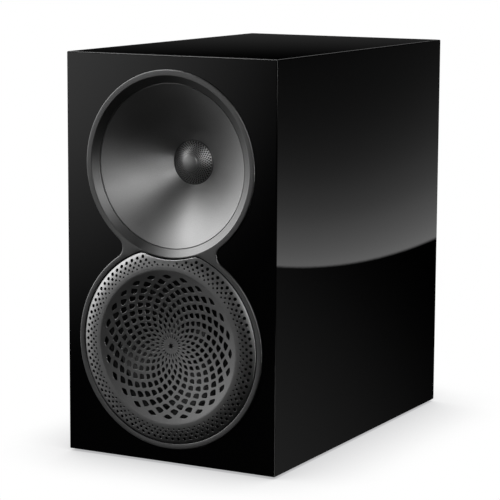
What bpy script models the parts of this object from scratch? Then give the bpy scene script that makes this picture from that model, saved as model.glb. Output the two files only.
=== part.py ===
"""Two-way bookshelf loudspeaker: lacquered cabinet, waveguide tweeter, woofer behind a
perforated lens, rear reflex port, binding posts and crossover, each piece its own object.

Axes: +X to the speaker's left-to-right as seen from the front, +Y to the back, +Z up.
Origin: centre of the overall box, on the surface that the feet stand on.
Turned pieces are drawn as (radius, height) profiles, with height counted forward from the
cabinet's front face.
"""

import math

import bmesh
import bpy
from mathutils import Matrix, Vector

MM = 0.001
GAP = 0.3 * MM

# Cabinet
CABINET_WIDTH = 200 * MM
CABINET_DEPTH = 330 * MM
CABINET_HEIGHT = 343 * MM
FOOT_HEIGHT = 2 * MM
FOOT_RADIUS = 7 * MM
FOOT_INSET = 24 * MM
WALL = 18 * MM
FRONT_WALL = 22 * MM
CABINET_EDGE_RADIUS = 0.9 * MM
BRACE_THICKNESS = 14 * MM
BRACE_HEIGHT = 185 * MM
PAD_THICKNESS = 8 * MM

# Driver centres above the cabinet's bottom, and what stands proud of the cabinet
TWEETER_HEIGHT = 251 * MM
WOOFER_HEIGHT = 99.8 * MM
LENS_CREST = 4.6 * MM
FLANGE_PROUD = 3 * MM

# Figure-of-eight trim plate and the openings in it
TRIM_TWEETER_RADIUS = 80.4 * MM
TRIM_WOOFER_RADIUS = 88 * MM
TRIM_WAIST_RADIUS = 9 * MM
TRIM_PROUD = 1.2 * MM
TRIM_SUNK = 2.5 * MM
TRIM_BEVEL_OUTER = 75.5 * MM
TRIM_BEVEL_INNER = 69.3 * MM
LENS_OPENING_RADIUS = 82.9 * MM
LENS_NOTCH_RADIUS = 76.7 * MM
LENS_CORNER_RADIUS = 14 * MM
LENS_EDGE_GAP = 0.4 * MM

# Waveguide: a horn that is steepest at its throat and opens out towards its mouth
HORN_THROAT_RADIUS = 19 * MM
HORN_MOUTH_RADIUS = 68.7 * MM
HORN_MOUTH_DEPTH = 3.2 * MM
HORN_MOUTH_SLOPE = 0.583
HORN_CURVE = 3.24
HORN_WALL = 3.4 * MM
HORN_FLANGE_RADIUS = 74 * MM
HORN_FLANGE_FRONT = 3.1 * MM
HORN_FLANGE_BACK = 7 * MM

# Perforated woofer lens: a bowl inside a crowned rim
LENS_THICKNESS = 1.8 * MM
LENS_BOWL_DEPTH = 2.2 * MM
LENS_BOWL_CURVE = 1.6
LENS_CREST_RADIUS = 67 * MM
LENS_BOWL_RADIUS = 65 * MM
LENS_RIM_CURVE = 14.9
LENS_PROFILE_RADII = (0, 28, 50, 64.5, 69, 76, 86)
LENS_SPOKES = 18
LENS_SLOT_RINGS = ((18, 38), (41, 60))

# Woofer motor, as heights forward of the cabinet's front face (all negative)
BASKET_FLANGE_RADIUS = 80 * MM
BASKET_FLANGE_FRONT = -8.5 * MM
BASKET_FLANGE_BACK = -12 * MM
BASKET_BODY_RADIUS = 70.5 * MM
BASKET_SEAT = -53.7 * MM
BASKET_WINDOWS = 6
SCREW_CIRCLE_WOOFER = 76.2 * MM
SCREW_CIRCLE_TWEETER = 70.8 * MM

# Rear fittings, heights above the cabinet's bottom
PORT_HEIGHT = 252 * MM
PORT_BORE = 23 * MM
PORT_FLARE = 36 * MM
PORT_LENGTH = 112 * MM
PORT_WALL = 3 * MM
PORT_SHOULDER = 2 * MM
PORT_SHOULDER_DEPTH = 15 * MM
CUP_HEIGHT = 95 * MM
CUP_WIDTH = 104 * MM
CUP_TALL = 78 * MM
CUP_RECESS = 24 * MM
CUP_BODY_MARGIN = 10 * MM
CUP_WALL = 3 * MM
CUP_SCREW_HEAD = 1.6 * MM
POST_SPACING = 38 * MM
POST_CAP_LENGTH = 12.5 * MM
POST_TAIL = 12 * MM

# Facets around a turned piece
FINE = 36
MEDIUM = 20
COARSE = 14
SMALL = 8

# Where the front and back of the cabinet lie, so that the overall box is centred
OVERALL_DEPTH = LENS_CREST + CABINET_DEPTH + FLANGE_PROUD + CUP_SCREW_HEAD
FRONT_Y = -OVERALL_DEPTH / 2 + LENS_CREST
BACK_Y = FRONT_Y + CABINET_DEPTH
BASE_Z = FOOT_HEIGHT
TOP_Z = BASE_Z + CABINET_HEIGHT
TWEETER = Vector((0, FRONT_Y, BASE_Z + TWEETER_HEIGHT))
WOOFER = Vector((0, FRONT_Y, BASE_Z + WOOFER_HEIGHT))
PORT = Vector((0, BACK_Y, BASE_Z + PORT_HEIGHT))
CUP = Vector((0, BACK_Y, BASE_Z + CUP_HEIGHT))
FACING_FRONT = (math.pi / 2, 0, 0)
FACING_BACK = (-math.pi / 2, 0, 0)


# ---------------------------------------------------------------- scene and materials

for old in list(bpy.data.objects):
    bpy.data.objects.remove(old, do_unlink=True)

PARTS = bpy.data.collections.new("bookshelf_speaker")
CUTTERS = bpy.data.collections.new("cutters")
bpy.context.scene.collection.children.link(PARTS)
bpy.context.scene.collection.children.link(CUTTERS)

LOOKS = {
    "lacquer": ((0.006, 0.006, 0.007), 0.05, 0.0),
    "mdf": ((0.32, 0.20, 0.11), 0.85, 0.0),
    "satin_metal": ((0.30, 0.30, 0.31), 0.38, 1.0),
    "dark_metal": ((0.12, 0.12, 0.125), 0.42, 1.0),
    "lens_metal": ((0.42, 0.42, 0.43), 0.40, 1.0),
    "cast_basket": ((0.05, 0.05, 0.052), 0.55, 0.6),
    "rubber": ((0.015, 0.015, 0.015), 0.75, 0.0),
    "felt": ((0.62, 0.62, 0.58), 0.95, 0.0),
    "cone_grey": ((0.30, 0.30, 0.31), 0.55, 0.0),
    "spider_cloth": ((0.55, 0.42, 0.16), 0.9, 0.0),
    "copper": ((0.80, 0.38, 0.20), 0.35, 1.0),
    "steel": ((0.50, 0.50, 0.50), 0.35, 1.0),
    "ferrite": ((0.05, 0.05, 0.055), 0.7, 0.1),
    "black_plastic": ((0.02, 0.02, 0.02), 0.5, 0.0),
    "red_plastic": ((0.55, 0.02, 0.02), 0.35, 0.0),
    "silk": ((0.10, 0.10, 0.11), 0.8, 0.0),
    "board_green": ((0.03, 0.16, 0.07), 0.5, 0.0),
    "film_yellow": ((0.75, 0.55, 0.10), 0.4, 0.0),
    "ceramic": ((0.75, 0.74, 0.70), 0.8, 0.0),
    "screw_steel": ((0.10, 0.10, 0.10), 0.4, 1.0),
    "cable": ((0.25, 0.02, 0.02), 0.5, 0.0),
    "gold": ((0.85, 0.60, 0.25), 0.25, 1.0),
}


def material(name):
    """One Principled material for each entry in LOOKS."""
    found = bpy.data.materials.get(name)
    if found:
        return found
    colour, roughness, metallic = LOOKS[name]
    made = bpy.data.materials.new(name)
    made.use_nodes = True
    shader = made.node_tree.nodes["Principled BSDF"]
    shader.inputs["Base Color"].default_value = (*colour, 1)
    shader.inputs["Roughness"].default_value = roughness
    shader.inputs["Metallic"].default_value = metallic
    return made


# ---------------------------------------------------------------- modelling helpers

def add_object(name, data, look=None):
    """Put data in the scene as a part, or as a cutter when it has no look."""
    made = bpy.data.objects.new(name, data)
    if look is None:
        CUTTERS.objects.link(made)
        made.hide_render = True
        made.display_type = "WIRE"
    else:
        PARTS.objects.link(made)
        data.materials.append(material(look))
    return made


def arc(centre_r, centre_z, radius, start_deg, end_deg, steps):
    """Points along an arc of a profile, both ends included."""
    points = []
    for step in range(steps + 1):
        angle = math.radians(start_deg + (end_deg - start_deg) * step / steps)
        points.append((centre_r + radius * math.cos(angle), centre_z + radius * math.sin(angle)))
    return points


def turned(name, profile, look=None, at=(0, 0, 0), facing=FACING_FRONT, facets=MEDIUM, ring=True):
    """Spin a profile of (radius, height) points about the local Z axis.

    A ring's profile is a closed loop that runs clockwise; any other profile starts and
    ends on the axis.
    """
    mesh = bpy.data.meshes.new(name)
    points = [(r, 0, z) for r, z in profile]
    edges = [(i, i + 1) for i in range(len(points) - 1)]
    if ring:
        edges.append((len(points) - 1, 0))
    mesh.from_pydata(points, edges, [])
    made = add_object(name, mesh, look)
    made.location = at
    made.rotation_euler = facing
    screw = made.modifiers.new("spin", "SCREW")
    screw.axis = "Z"
    screw.steps = facets
    screw.render_steps = facets
    screw.use_merge_vertices = True
    screw.merge_threshold = 0.01 * MM
    screw.use_smooth_shade = True
    return made


def box(name, size, centre, look=None, bevel=0.0):
    """A box with its edges optionally rounded."""
    mesh = bpy.data.meshes.new(name)
    shape = bmesh.new()
    bmesh.ops.create_cube(shape, size=1)
    bmesh.ops.scale(shape, vec=size, verts=shape.verts)
    shape.to_mesh(mesh)
    shape.free()
    made = add_object(name, mesh, look)
    made.location = centre
    if bevel:
        rounding = made.modifiers.new("edges", "BEVEL")
        rounding.width = bevel
        rounding.segments = 2
        rounding.limit_method = "ANGLE"
    return made


def rod(name, radius, length, centre, look=None, facing=FACING_FRONT, facets=SMALL):
    """A cylinder about its local Z axis."""
    mesh = bpy.data.meshes.new(name)
    shape = bmesh.new()
    bmesh.ops.create_cone(
        shape, cap_ends=True, segments=facets, radius1=radius, radius2=radius, depth=length
    )
    shape.to_mesh(mesh)
    shape.free()
    mesh.shade_smooth()
    mesh.set_sharp_from_angle(angle=math.radians(40))
    made = add_object(name, mesh, look)
    made.location = centre
    made.rotation_euler = facing
    return made


def slab(name, outline, thickness, at, look=None, facing=FACING_FRONT):
    """A flat outline of (x, y) points, thickened both ways about its own plane."""
    curve = bpy.data.curves.new(name, "CURVE")
    curve.dimensions = "2D"
    curve.fill_mode = "BOTH"
    curve.extrude = thickness / 2
    spline = curve.splines.new("POLY")
    spline.points.add(len(outline) - 1)
    for point, (x, y) in zip(spline.points, outline):
        point.co = (x, y, 0, 1)
    spline.use_cyclic_u = True
    sketch = bpy.data.objects.new(name + "_sketch", curve)
    bpy.context.scene.collection.objects.link(sketch)
    sketch.location = at
    sketch.rotation_euler = facing
    return solid_from_curve(name, sketch, look)


def tube(name, points, radius, look):
    """A round cable through the points, closed at both ends."""
    curve = bpy.data.curves.new(name, "CURVE")
    curve.dimensions = "3D"
    curve.bevel_depth = radius
    curve.bevel_resolution = 2
    curve.use_fill_caps = True
    spline = curve.splines.new("POLY")
    spline.points.add(len(points) - 1)
    for point, place in zip(spline.points, points):
        point.co = (*place, 1)
    sketch = bpy.data.objects.new(name + "_sketch", curve)
    bpy.context.scene.collection.objects.link(sketch)
    return solid_from_curve(name, sketch, look)


def solid_from_curve(name, sketch, look):
    """Turn a curve object into a mesh object with welded caps, and remove the curve."""
    bpy.context.view_layer.update()
    graph = bpy.context.evaluated_depsgraph_get()
    mesh = bpy.data.meshes.new_from_object(sketch.evaluated_get(graph))
    mesh.name = name
    place = sketch.matrix_world.copy()
    bpy.data.objects.remove(sketch, do_unlink=True)
    shape = bmesh.new()
    shape.from_mesh(mesh)
    bmesh.ops.remove_doubles(shape, verts=shape.verts, dist=0.01 * MM)
    shape.to_mesh(mesh)
    shape.free()
    made = add_object(name, mesh, look)
    made.matrix_world = place
    return made


def cut(part, *cutters):
    """Subtract each cutter from the part."""
    for cutter in cutters:
        boolean = part.modifiers.new("cut_" + cutter.name, "BOOLEAN")
        boolean.operation = "DIFFERENCE"
        boolean.solver = "EXACT"
        boolean.object = cutter


def smooth_path(knots, steps):
    """Points on a smooth curve through the knots, steps to each span (Catmull-Rom)."""
    ends = [knots[0] * 2 - knots[1], *knots, knots[-1] * 2 - knots[-2]]
    path = []
    for before, start, end, after in zip(ends, ends[1:], ends[2:], ends[3:]):
        for step in range(steps):
            t = step / steps
            path.append(
                0.5 * (2 * start + (end - before) * t
                       + (2 * before - 5 * start + 4 * end - after) * t ** 2
                       + (3 * start - before - 3 * end + after) * t ** 3)
            )
    path.append(knots[-1])
    return path


def around(count, radius, start_deg):
    """Points spaced evenly on a circle in the front plane, as (x, z) offsets."""
    places = []
    for index in range(count):
        angle = math.radians(start_deg + 360 * index / count)
        places.append((radius * math.cos(angle), radius * math.sin(angle)))
    return places


# ---------------------------------------------------------------- outlines of the front

def circle_meeting(reach_low, reach_high):
    """Where circles about the woofer and tweeter centres cross, on the +X side, from the woofer."""
    apart = TWEETER_HEIGHT - WOOFER_HEIGHT
    along = (apart ** 2 + reach_low ** 2 - reach_high ** 2) / (2 * apart)
    return math.sqrt(reach_low ** 2 - along ** 2), along


def direction(from_x, from_y, to_x, to_y):
    return math.degrees(math.atan2(to_y - from_y, to_x - from_x))


def trim_outline(grow, steps=FINE):
    """Figure of eight about the woofer centre: two circles joined by waist fillets."""
    apart = TWEETER_HEIGHT - WOOFER_HEIGHT
    low = TRIM_WOOFER_RADIUS + grow
    high = TRIM_TWEETER_RADIUS + grow
    waist = TRIM_WAIST_RADIUS - grow
    x, y = circle_meeting(low + waist, high + waist)
    to_low = direction(0, 0, x, y)
    to_high = direction(0, apart, x, y)
    right = arc(0, 0, low, -90, to_low, steps // 2)
    right += arc(x, y, waist, to_low + 180, to_high + 180, 6)[1:]
    right += arc(0, apart, high, to_high, 90, steps // 2)[1:]
    left = [(-x, y) for x, y in reversed(right[1:-1])]
    return right + left


def lens_outline(grow, steps=FINE):
    """Disc about the woofer centre, notched to follow the tweeter, with rounded corners."""
    apart = TWEETER_HEIGHT - WOOFER_HEIGHT
    rim = LENS_OPENING_RADIUS + grow
    notch = LENS_NOTCH_RADIUS - grow
    corner = LENS_CORNER_RADIUS + grow
    x, y = circle_meeting(rim - corner, notch + corner)
    to_low = direction(0, 0, x, y)
    to_high = direction(0, apart, x, y)
    right = arc(0, 0, rim, -90, to_low, steps // 2)
    right += arc(x, y, corner, to_low, to_high + 180, 6)[1:]
    right += arc(0, apart, notch, to_high, -90, 6)[1:]
    left = [(-x, y) for x, y in reversed(right[1:-1])]
    return right + left


def lens_height(radius):
    """Height of the lens surface: a shallow bowl that turns over a crest into the rim."""
    if radius < LENS_BOWL_RADIUS:
        return -LENS_BOWL_DEPTH + LENS_BOWL_CURVE * radius ** 2
    return LENS_CREST - LENS_RIM_CURVE * (radius - LENS_CREST_RADIUS) ** 2


def horn_height(radius):
    """Height of the waveguide surface at a radius."""
    inward = HORN_MOUTH_RADIUS - radius
    return -HORN_MOUTH_DEPTH - HORN_MOUTH_SLOPE * inward - HORN_CURVE * inward ** 2


# ---------------------------------------------------------------- cabinet

def cabinet_shell():
    middle_y = (FRONT_Y + BACK_Y) / 2
    middle_z = (BASE_Z + TOP_Z) / 2
    shell = box(
        "cabinet_shell", (CABINET_WIDTH, CABINET_DEPTH, CABINET_HEIGHT),
        (0, middle_y, middle_z), "lacquer", CABINET_EDGE_RADIUS,
    )
    inner = (CABINET_WIDTH - 2 * WALL, CABINET_DEPTH - FRONT_WALL + WALL, CABINET_HEIGHT - 2 * WALL)
    hollow = box("cut_hollow", inner, (0, FRONT_Y + FRONT_WALL + inner[1] / 2, middle_z))
    rebate = slab(
        "cut_trim_rebate", trim_outline(GAP), 2 * (TRIM_SUNK + GAP), WOOFER,
    )
    tweeter_well = stepped_hole("cut_tweeter_well", TWEETER, HORN_FLANGE_RADIUS + GAP,
                                HORN_FLANGE_BACK + GAP, HORN_FLANGE_RADIUS - 8 * MM)
    woofer_well = stepped_hole("cut_woofer_well", WOOFER, BASKET_FLANGE_RADIUS + GAP,
                               -BASKET_FLANGE_BACK + GAP, BASKET_BODY_RADIUS + 0.7 * MM)
    cut(shell, hollow, rebate, tweeter_well, woofer_well)
    for centre, circle in ((TWEETER, SCREW_CIRCLE_TWEETER), (WOOFER, SCREW_CIRCLE_WOOFER)):
        for index, (x, z) in enumerate(around(4, circle, 45)):
            pilot = rod(f"cut_pilot_{circle * 1e4:.0f}_{index}", 2 * MM, 16 * MM,
                        centre + Vector((x, 12 * MM, z)), facets=SMALL)
            cut(shell, pilot)
    return shell


def stepped_hole(name, centre, wide, wide_depth, narrow):
    """A counterbore of the wide radius, and a through hole of the narrow one behind it."""
    through = FRONT_WALL + 5 * MM
    profile = [(0, 5 * MM), (wide, 5 * MM), (wide, -wide_depth), (narrow, -wide_depth),
               (narrow, -through), (0, -through)]
    return turned(name, profile, at=centre, facets=FINE, ring=False)


def rear_panel():
    size = (CABINET_WIDTH - 2 * WALL - 2 * GAP, WALL, CABINET_HEIGHT - 2 * WALL - 2 * GAP)
    panel = box("rear_panel", size, (0, BACK_Y - WALL / 2, (BASE_Z + TOP_Z) / 2), "lacquer")
    port_hole = rod("cut_port_hole", PORT_FLARE + PORT_SHOULDER + 2 * GAP, 3 * WALL, PORT, facets=FINE)
    cup_hole = box(
        "cut_cup_hole",
        (CUP_WIDTH - 2 * CUP_BODY_MARGIN + 2 * GAP, 3 * WALL, CUP_TALL - 2 * CUP_BODY_MARGIN + 2 * GAP),
        CUP,
    )
    cut(panel, port_hole, cup_hole)
    for index, (x, z) in enumerate(cup_screw_places()):
        pilot = rod(f"cut_cup_pilot_{index}", 1.6 * MM, 14 * MM, CUP + Vector((x, -6 * MM, z)))
        cut(panel, pilot)


def brace():
    size = (CABINET_WIDTH - 2 * WALL - 2 * GAP,
            CABINET_DEPTH - FRONT_WALL - WALL - 2 * GAP, BRACE_THICKNESS)
    middle_y = (FRONT_Y + FRONT_WALL + BACK_Y - WALL) / 2
    shelf = box("window_brace", size, (0, middle_y, BASE_Z + BRACE_HEIGHT), "mdf")
    rail = 26 * MM
    window = box("cut_brace_window", (size[0] - 2 * rail, (size[1] - 3 * rail) / 2, 3 * size[2]),
                 (0, middle_y - (size[1] - rail) / 4, BASE_Z + BRACE_HEIGHT))
    second = box("cut_brace_window_2", (size[0] - 2 * rail, (size[1] - 3 * rail) / 2, 3 * size[2]),
                 (0, middle_y + (size[1] - rail) / 4, BASE_Z + BRACE_HEIGHT))
    cut(shelf, window, second)


def damping_pads():
    reach = CABINET_WIDTH / 2 - WALL - GAP - PAD_THICKNESS / 2
    bottom = BASE_Z + BRACE_HEIGHT + BRACE_THICKNESS
    tall = TOP_Z - WALL - bottom - 8 * MM
    for side, name in ((-1, "damping_pad_left"), (1, "damping_pad_right")):
        box(name, (PAD_THICKNESS, 150 * MM, tall),
            (side * reach, 25 * MM, bottom + 4 * MM + tall / 2), "felt", 2 * MM)


def feet():
    for side, across in ((-1, "left"), (1, "right")):
        for end, along in ((FRONT_Y + FOOT_INSET, "front"), (BACK_Y - FOOT_INSET, "rear")):
            place = (side * (CABINET_WIDTH / 2 - FOOT_INSET), end, 0)
            lip = 0.5 * MM
            tall = FOOT_HEIGHT - 0.05 * MM
            profile = [(0, tall), (FOOT_RADIUS, tall), (FOOT_RADIUS, lip),
                       (FOOT_RADIUS - lip, 0), (0, 0)]
            turned(f"foot_{along}_{across}", profile, "rubber", place, (0, 0, 0), COARSE, False)


# ---------------------------------------------------------------- front plate and lens

def trim_plate():
    middle = (TRIM_PROUD - TRIM_SUNK) / 2
    plate = slab(
        "driver_trim_plate", trim_outline(0), TRIM_PROUD + TRIM_SUNK,
        WOOFER + Vector((0, -middle, 0)), "dark_metal",
    )
    bevel_run = TRIM_BEVEL_OUTER - TRIM_BEVEL_INNER
    bevel_rise = TRIM_PROUD + TRIM_SUNK
    past = 2 * MM
    slope = bevel_run / bevel_rise
    profile = [(0, TRIM_PROUD + past), (TRIM_BEVEL_OUTER + past * slope, TRIM_PROUD + past),
               (TRIM_BEVEL_INNER - past * slope, -TRIM_SUNK - past), (0, -TRIM_SUNK - past)]
    mouth = turned("cut_trim_mouth", profile, at=TWEETER, facets=FINE, ring=False)
    opening = slab("cut_trim_lens", lens_outline(LENS_EDGE_GAP), 20 * MM, WOOFER)
    cut(plate, mouth, opening)


def woofer_lens():
    """The lens, turned as a solid, trimmed to its notched outline and slotted."""
    front = [(r * MM, lens_height(r * MM)) for r in LENS_PROFILE_RADII]
    back = [(r, z - LENS_THICKNESS) for r, z in reversed(front)]
    lens = turned("woofer_lens", front + back, "lens_metal", WOOFER, facets=FINE, ring=False)
    keep = slab("cut_lens_outline", lens_outline(-LENS_EDGE_GAP), 30 * MM, WOOFER)
    trim = lens.modifiers.new("outline", "BOOLEAN")
    trim.operation = "INTERSECT"
    trim.solver = "EXACT"
    trim.object = keep
    cut(lens, lens_slots())


def lens_slots():
    """Tapered slots between the spokes, in staggered rings, as one cutter."""
    mesh = bpy.data.meshes.new("cut_lens_slots")
    shape = bmesh.new()
    step = 2 * math.pi / LENS_SPOKES
    rib = 2.4 * MM
    for ring, (inner, outer) in enumerate(LENS_SLOT_RINGS):
        for spoke in range(LENS_SPOKES):
            angle = (spoke + 0.5 * (ring % 2)) * step
            slot = bmesh.ops.create_cube(shape, size=1)["verts"]
            for vert in slot:
                radius = (inner if vert.co.x < 0 else outer) * MM
                half_width = max((radius * step - rib) / 2, 0.4 * MM)
                across = half_width if vert.co.y > 0 else -half_width
                depth = vert.co.z * 30 * MM
                vert.co = (radius, across, depth)
            bmesh.ops.rotate(shape, verts=slot, matrix=Matrix.Rotation(angle, 3, "Z"))
    shape.to_mesh(mesh)
    shape.free()
    made = add_object("cut_lens_slots", mesh)
    made.location = WOOFER
    made.rotation_euler = FACING_FRONT
    return made


# ---------------------------------------------------------------- tweeter

def waveguide():
    mouth_steps = 6
    front = []
    for step in range(mouth_steps + 1):
        radius = HORN_THROAT_RADIUS + (HORN_MOUTH_RADIUS - HORN_THROAT_RADIUS) * step / mouth_steps
        front.append((radius, horn_height(radius)))
    hub = 36 * MM
    hub_back = -46 * MM
    ledge = -44.8 * MM
    flange_inner = HORN_FLANGE_RADIUS - 8.6 * MM
    profile = [
        (HORN_MOUTH_RADIUS, -4.8 * MM), (69.9 * MM, -4.8 * MM),
        (69.9 * MM, -HORN_FLANGE_FRONT), (HORN_FLANGE_RADIUS, -HORN_FLANGE_FRONT),
        (HORN_FLANGE_RADIUS, -HORN_FLANGE_BACK), (flange_inner, -HORN_FLANGE_BACK),
        (flange_inner, horn_height(flange_inner) - HORN_WALL),
        (50 * MM, horn_height(50 * MM) - HORN_WALL),
        (hub, horn_height(hub) - HORN_WALL), (hub, hub_back),
        (21.6 * MM, hub_back), (21.6 * MM, ledge), (HORN_THROAT_RADIUS, ledge),
    ]
    guide = turned("tweeter_waveguide", profile + front, "satin_metal", TWEETER, facets=FINE)
    for index, (x, z) in enumerate(around(4, SCREW_CIRCLE_TWEETER, 45)):
        place = TWEETER + Vector((x, 0, z))
        cut(guide, screw_clearance(f"cut_guide_screw_{index}", place, -HORN_FLANGE_FRONT))


def screw_profile(head_top, shank_end, shank_radius=1.7 * MM, head_radius=3 * MM, head=1.8 * MM):
    return [(0, head_top), (head_radius, head_top), (head_radius, head_top - head),
            (shank_radius, head_top - head), (shank_radius, shank_end), (0, shank_end)]


def screw_clearance(name, place, flange_front):
    """A counterbored hole for a screw whose head lies just under the flange's face."""
    profile = [(0, flange_front + 2 * MM), (3.3 * MM, flange_front + 2 * MM),
               (3.3 * MM, flange_front - 2.4 * MM), (2 * MM, flange_front - 2.4 * MM),
               (2 * MM, flange_front - 8 * MM), (0, flange_front - 8 * MM)]
    return turned(name, profile, at=place, facets=SMALL, ring=False)


def tweeter_lens():
    """Domed phase lens with a flat centre disc, standing in the waveguide's throat."""
    sphere = 30 * MM
    rim = 18.5 * MM
    disc = 7 * MM
    rise = math.sqrt(sphere ** 2 - rim ** 2)
    base = -40.4 * MM
    shell = 1.2 * MM
    outer = []
    inner = []
    for step in range(4):
        radius = disc + (rim - disc) * step / 3
        height = base + math.sqrt(sphere ** 2 - radius ** 2) - rise
        outer.append((radius, height))
        inner.append((radius - 0.4 * MM, height - shell))
    profile = [(0, outer[0][1] + 0.5 * MM), (disc, outer[0][1] + 0.5 * MM), *outer,
               (rim, base - 2 * MM), (rim - 1.2 * MM, base - 2 * MM)]
    profile += list(reversed(inner[:-1])) + [(0, inner[0][1])]
    lens = turned("tweeter_lens", profile, "dark_metal", TWEETER, facets=MEDIUM, ring=False)
    holes = []
    for ring, (radius, count) in enumerate(((12.6 * MM, 12),)):
        for index, (x, z) in enumerate(around(count, radius, 0)):
            holes.append(rod(f"cut_tweeter_lens_{ring}_{index}", 1.3 * MM, 20 * MM,
                             TWEETER + Vector((x, 40 * MM, z)), facets=6))
    cut(lens, *holes)


def tweeter_motor():
    plate_top = -46.3 * MM
    plate_bottom = -50.3 * MM
    magnet_bottom = -60 * MM
    back_bottom = -65 * MM
    dome_base = -45.9 * MM
    moving = bpy.data.objects.new("tweeter_moving_axis", None)
    PARTS.objects.link(moving)
    moving.location = TWEETER
    moving.rotation_euler = FACING_FRONT

    dome_radius = 14 * MM
    dome_rise = 5 * MM
    sphere = (dome_radius ** 2 + dome_rise ** 2) / (2 * dome_rise)
    skin = 0.5 * MM
    outer = dome_profile(dome_radius, sphere, dome_base, 5)
    inner = dome_profile(dome_radius - skin, sphere - skin, dome_base, 5)
    dome = turned("tweeter_dome", outer + list(reversed(inner)), "silk", (0, 0, 0), (0, 0, 0),
                  MEDIUM, False)
    coil = turned(
        "tweeter_voice_coil",
        [(13.3 * MM, plate_top), (13.9 * MM, plate_top), (13.9 * MM, -52.5 * MM), (13.3 * MM, -52.5 * MM)],
        "copper", (0, 0, 0), (0, 0, 0), MEDIUM,
    )
    dome.parent = moving
    coil.parent = moving

    roll = half_roll(14.35 * MM, 18.2 * MM, dome_base + 0.3 * MM, 0.4 * MM, 5)
    turned("tweeter_surround", roll_with_lips(roll, 21.2 * MM, 0.4 * MM), "silk", TWEETER, facets=MEDIUM)
    turned("tweeter_top_plate",
           [(14.4 * MM, plate_top), (36 * MM, plate_top),
            (36 * MM, plate_bottom), (14.4 * MM, plate_bottom)],
           "steel", TWEETER, facets=MEDIUM)
    turned("tweeter_magnet",
           [(19 * MM, plate_bottom - GAP), (34 * MM, plate_bottom - GAP), (34 * MM, magnet_bottom),
            (19 * MM, magnet_bottom)],
           "ferrite", TWEETER, facets=MEDIUM)
    turned("tweeter_pole_plate",
           [(0, plate_top - 0.5 * MM), (12.7 * MM, plate_top - 0.5 * MM), (12.7 * MM, magnet_bottom - GAP),
            (32 * MM, magnet_bottom - GAP), (32 * MM, back_bottom), (0, back_bottom)],
           "steel", TWEETER, facets=MEDIUM, ring=False)
    cup_front = back_bottom - GAP
    cup_back = -84 * MM
    cup_floor = cup_back + 2 * MM
    turned("tweeter_rear_chamber",
           [(0, cup_floor), (28 * MM, cup_floor), (28 * MM, cup_front), (30 * MM, cup_front),
            (30 * MM, cup_back), (0, cup_back)],
           "black_plastic", TWEETER, facets=MEDIUM, ring=False)
    for index, (x, z) in enumerate(around(4, SCREW_CIRCLE_TWEETER, 45)):
        turned(f"tweeter_screw_{index + 1}",
               screw_profile(-HORN_FLANGE_FRONT - 0.3 * MM, -19 * MM),
               "screw_steel", TWEETER + Vector((x, 0, z)), facets=SMALL, ring=False)


def dome_profile(edge, sphere, base, steps):
    """Points of a spherical cap from its top on the axis down to its edge."""
    half_angle = math.degrees(math.asin(edge / sphere))
    centre = base - math.sqrt(sphere ** 2 - edge ** 2)
    return arc(0, centre, sphere, 90, 90 - half_angle, steps)


def half_roll(inner, outer, base, skin, steps):
    """Outer and inner skins of a half-round roll between two radii."""
    centre = (inner + outer) / 2
    radius = (outer - inner) / 2
    over = arc(centre, base, radius, 180, 0, steps)
    under = arc(centre, base, radius - skin, 0, 180, steps)
    return over, under


def roll_with_lips(roll, lip, skin):
    """A closed profile: over the roll, round its outer lip, and back under the roll."""
    over, under = roll
    base = over[-1][1]
    lip_end = [(lip, base), (lip, base - skin), (under[0][0], base - skin)]
    return over + lip_end + under[1:]


# ---------------------------------------------------------------- woofer

def woofer_basket():
    profile = [
        (66 * MM, BASKET_FLANGE_FRONT), (BASKET_FLANGE_RADIUS, BASKET_FLANGE_FRONT),
        (BASKET_FLANGE_RADIUS, BASKET_FLANGE_BACK), (BASKET_BODY_RADIUS, BASKET_FLANGE_BACK),
        (51 * MM, -43 * MM), (46 * MM, BASKET_SEAT), (24 * MM, BASKET_SEAT), (24 * MM, -51 * MM),
        (43.5 * MM, -51 * MM), (43.5 * MM, -42 * MM), (40 * MM, -42 * MM), (40 * MM, -40.5 * MM),
        (47.5 * MM, -40.5 * MM), (66 * MM, -12 * MM),
    ]
    basket = turned("woofer_basket", profile, "cast_basket", WOOFER, facets=FINE)
    mesh = bpy.data.meshes.new("cut_basket_windows")
    shape = bmesh.new()
    for index in range(BASKET_WINDOWS):
        window = bmesh.ops.create_cube(shape, size=1)["verts"]
        bmesh.ops.scale(shape, vec=(40 * MM, 42 * MM, 21 * MM), verts=window)
        bmesh.ops.translate(shape, vec=(65 * MM, 0, -27 * MM), verts=window)
        turn = Matrix.Rotation(2 * math.pi * index / BASKET_WINDOWS, 3, "Z")
        bmesh.ops.rotate(shape, verts=window, matrix=turn)
    shape.to_mesh(mesh)
    shape.free()
    windows = add_object("cut_basket_windows", mesh)
    windows.location = WOOFER
    windows.rotation_euler = FACING_FRONT
    cut(basket, windows)
    for index, (x, z) in enumerate(around(4, SCREW_CIRCLE_WOOFER, 45)):
        place = WOOFER + Vector((x, 0, z))
        cut(basket, screw_clearance(f"cut_basket_screw_{index}", place, BASKET_FLANGE_FRONT))
        turned(f"woofer_screw_{index + 1}", screw_profile(BASKET_FLANGE_FRONT - 0.3 * MM, -19 * MM),
               "screw_steel", place, facets=SMALL, ring=False)


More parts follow.
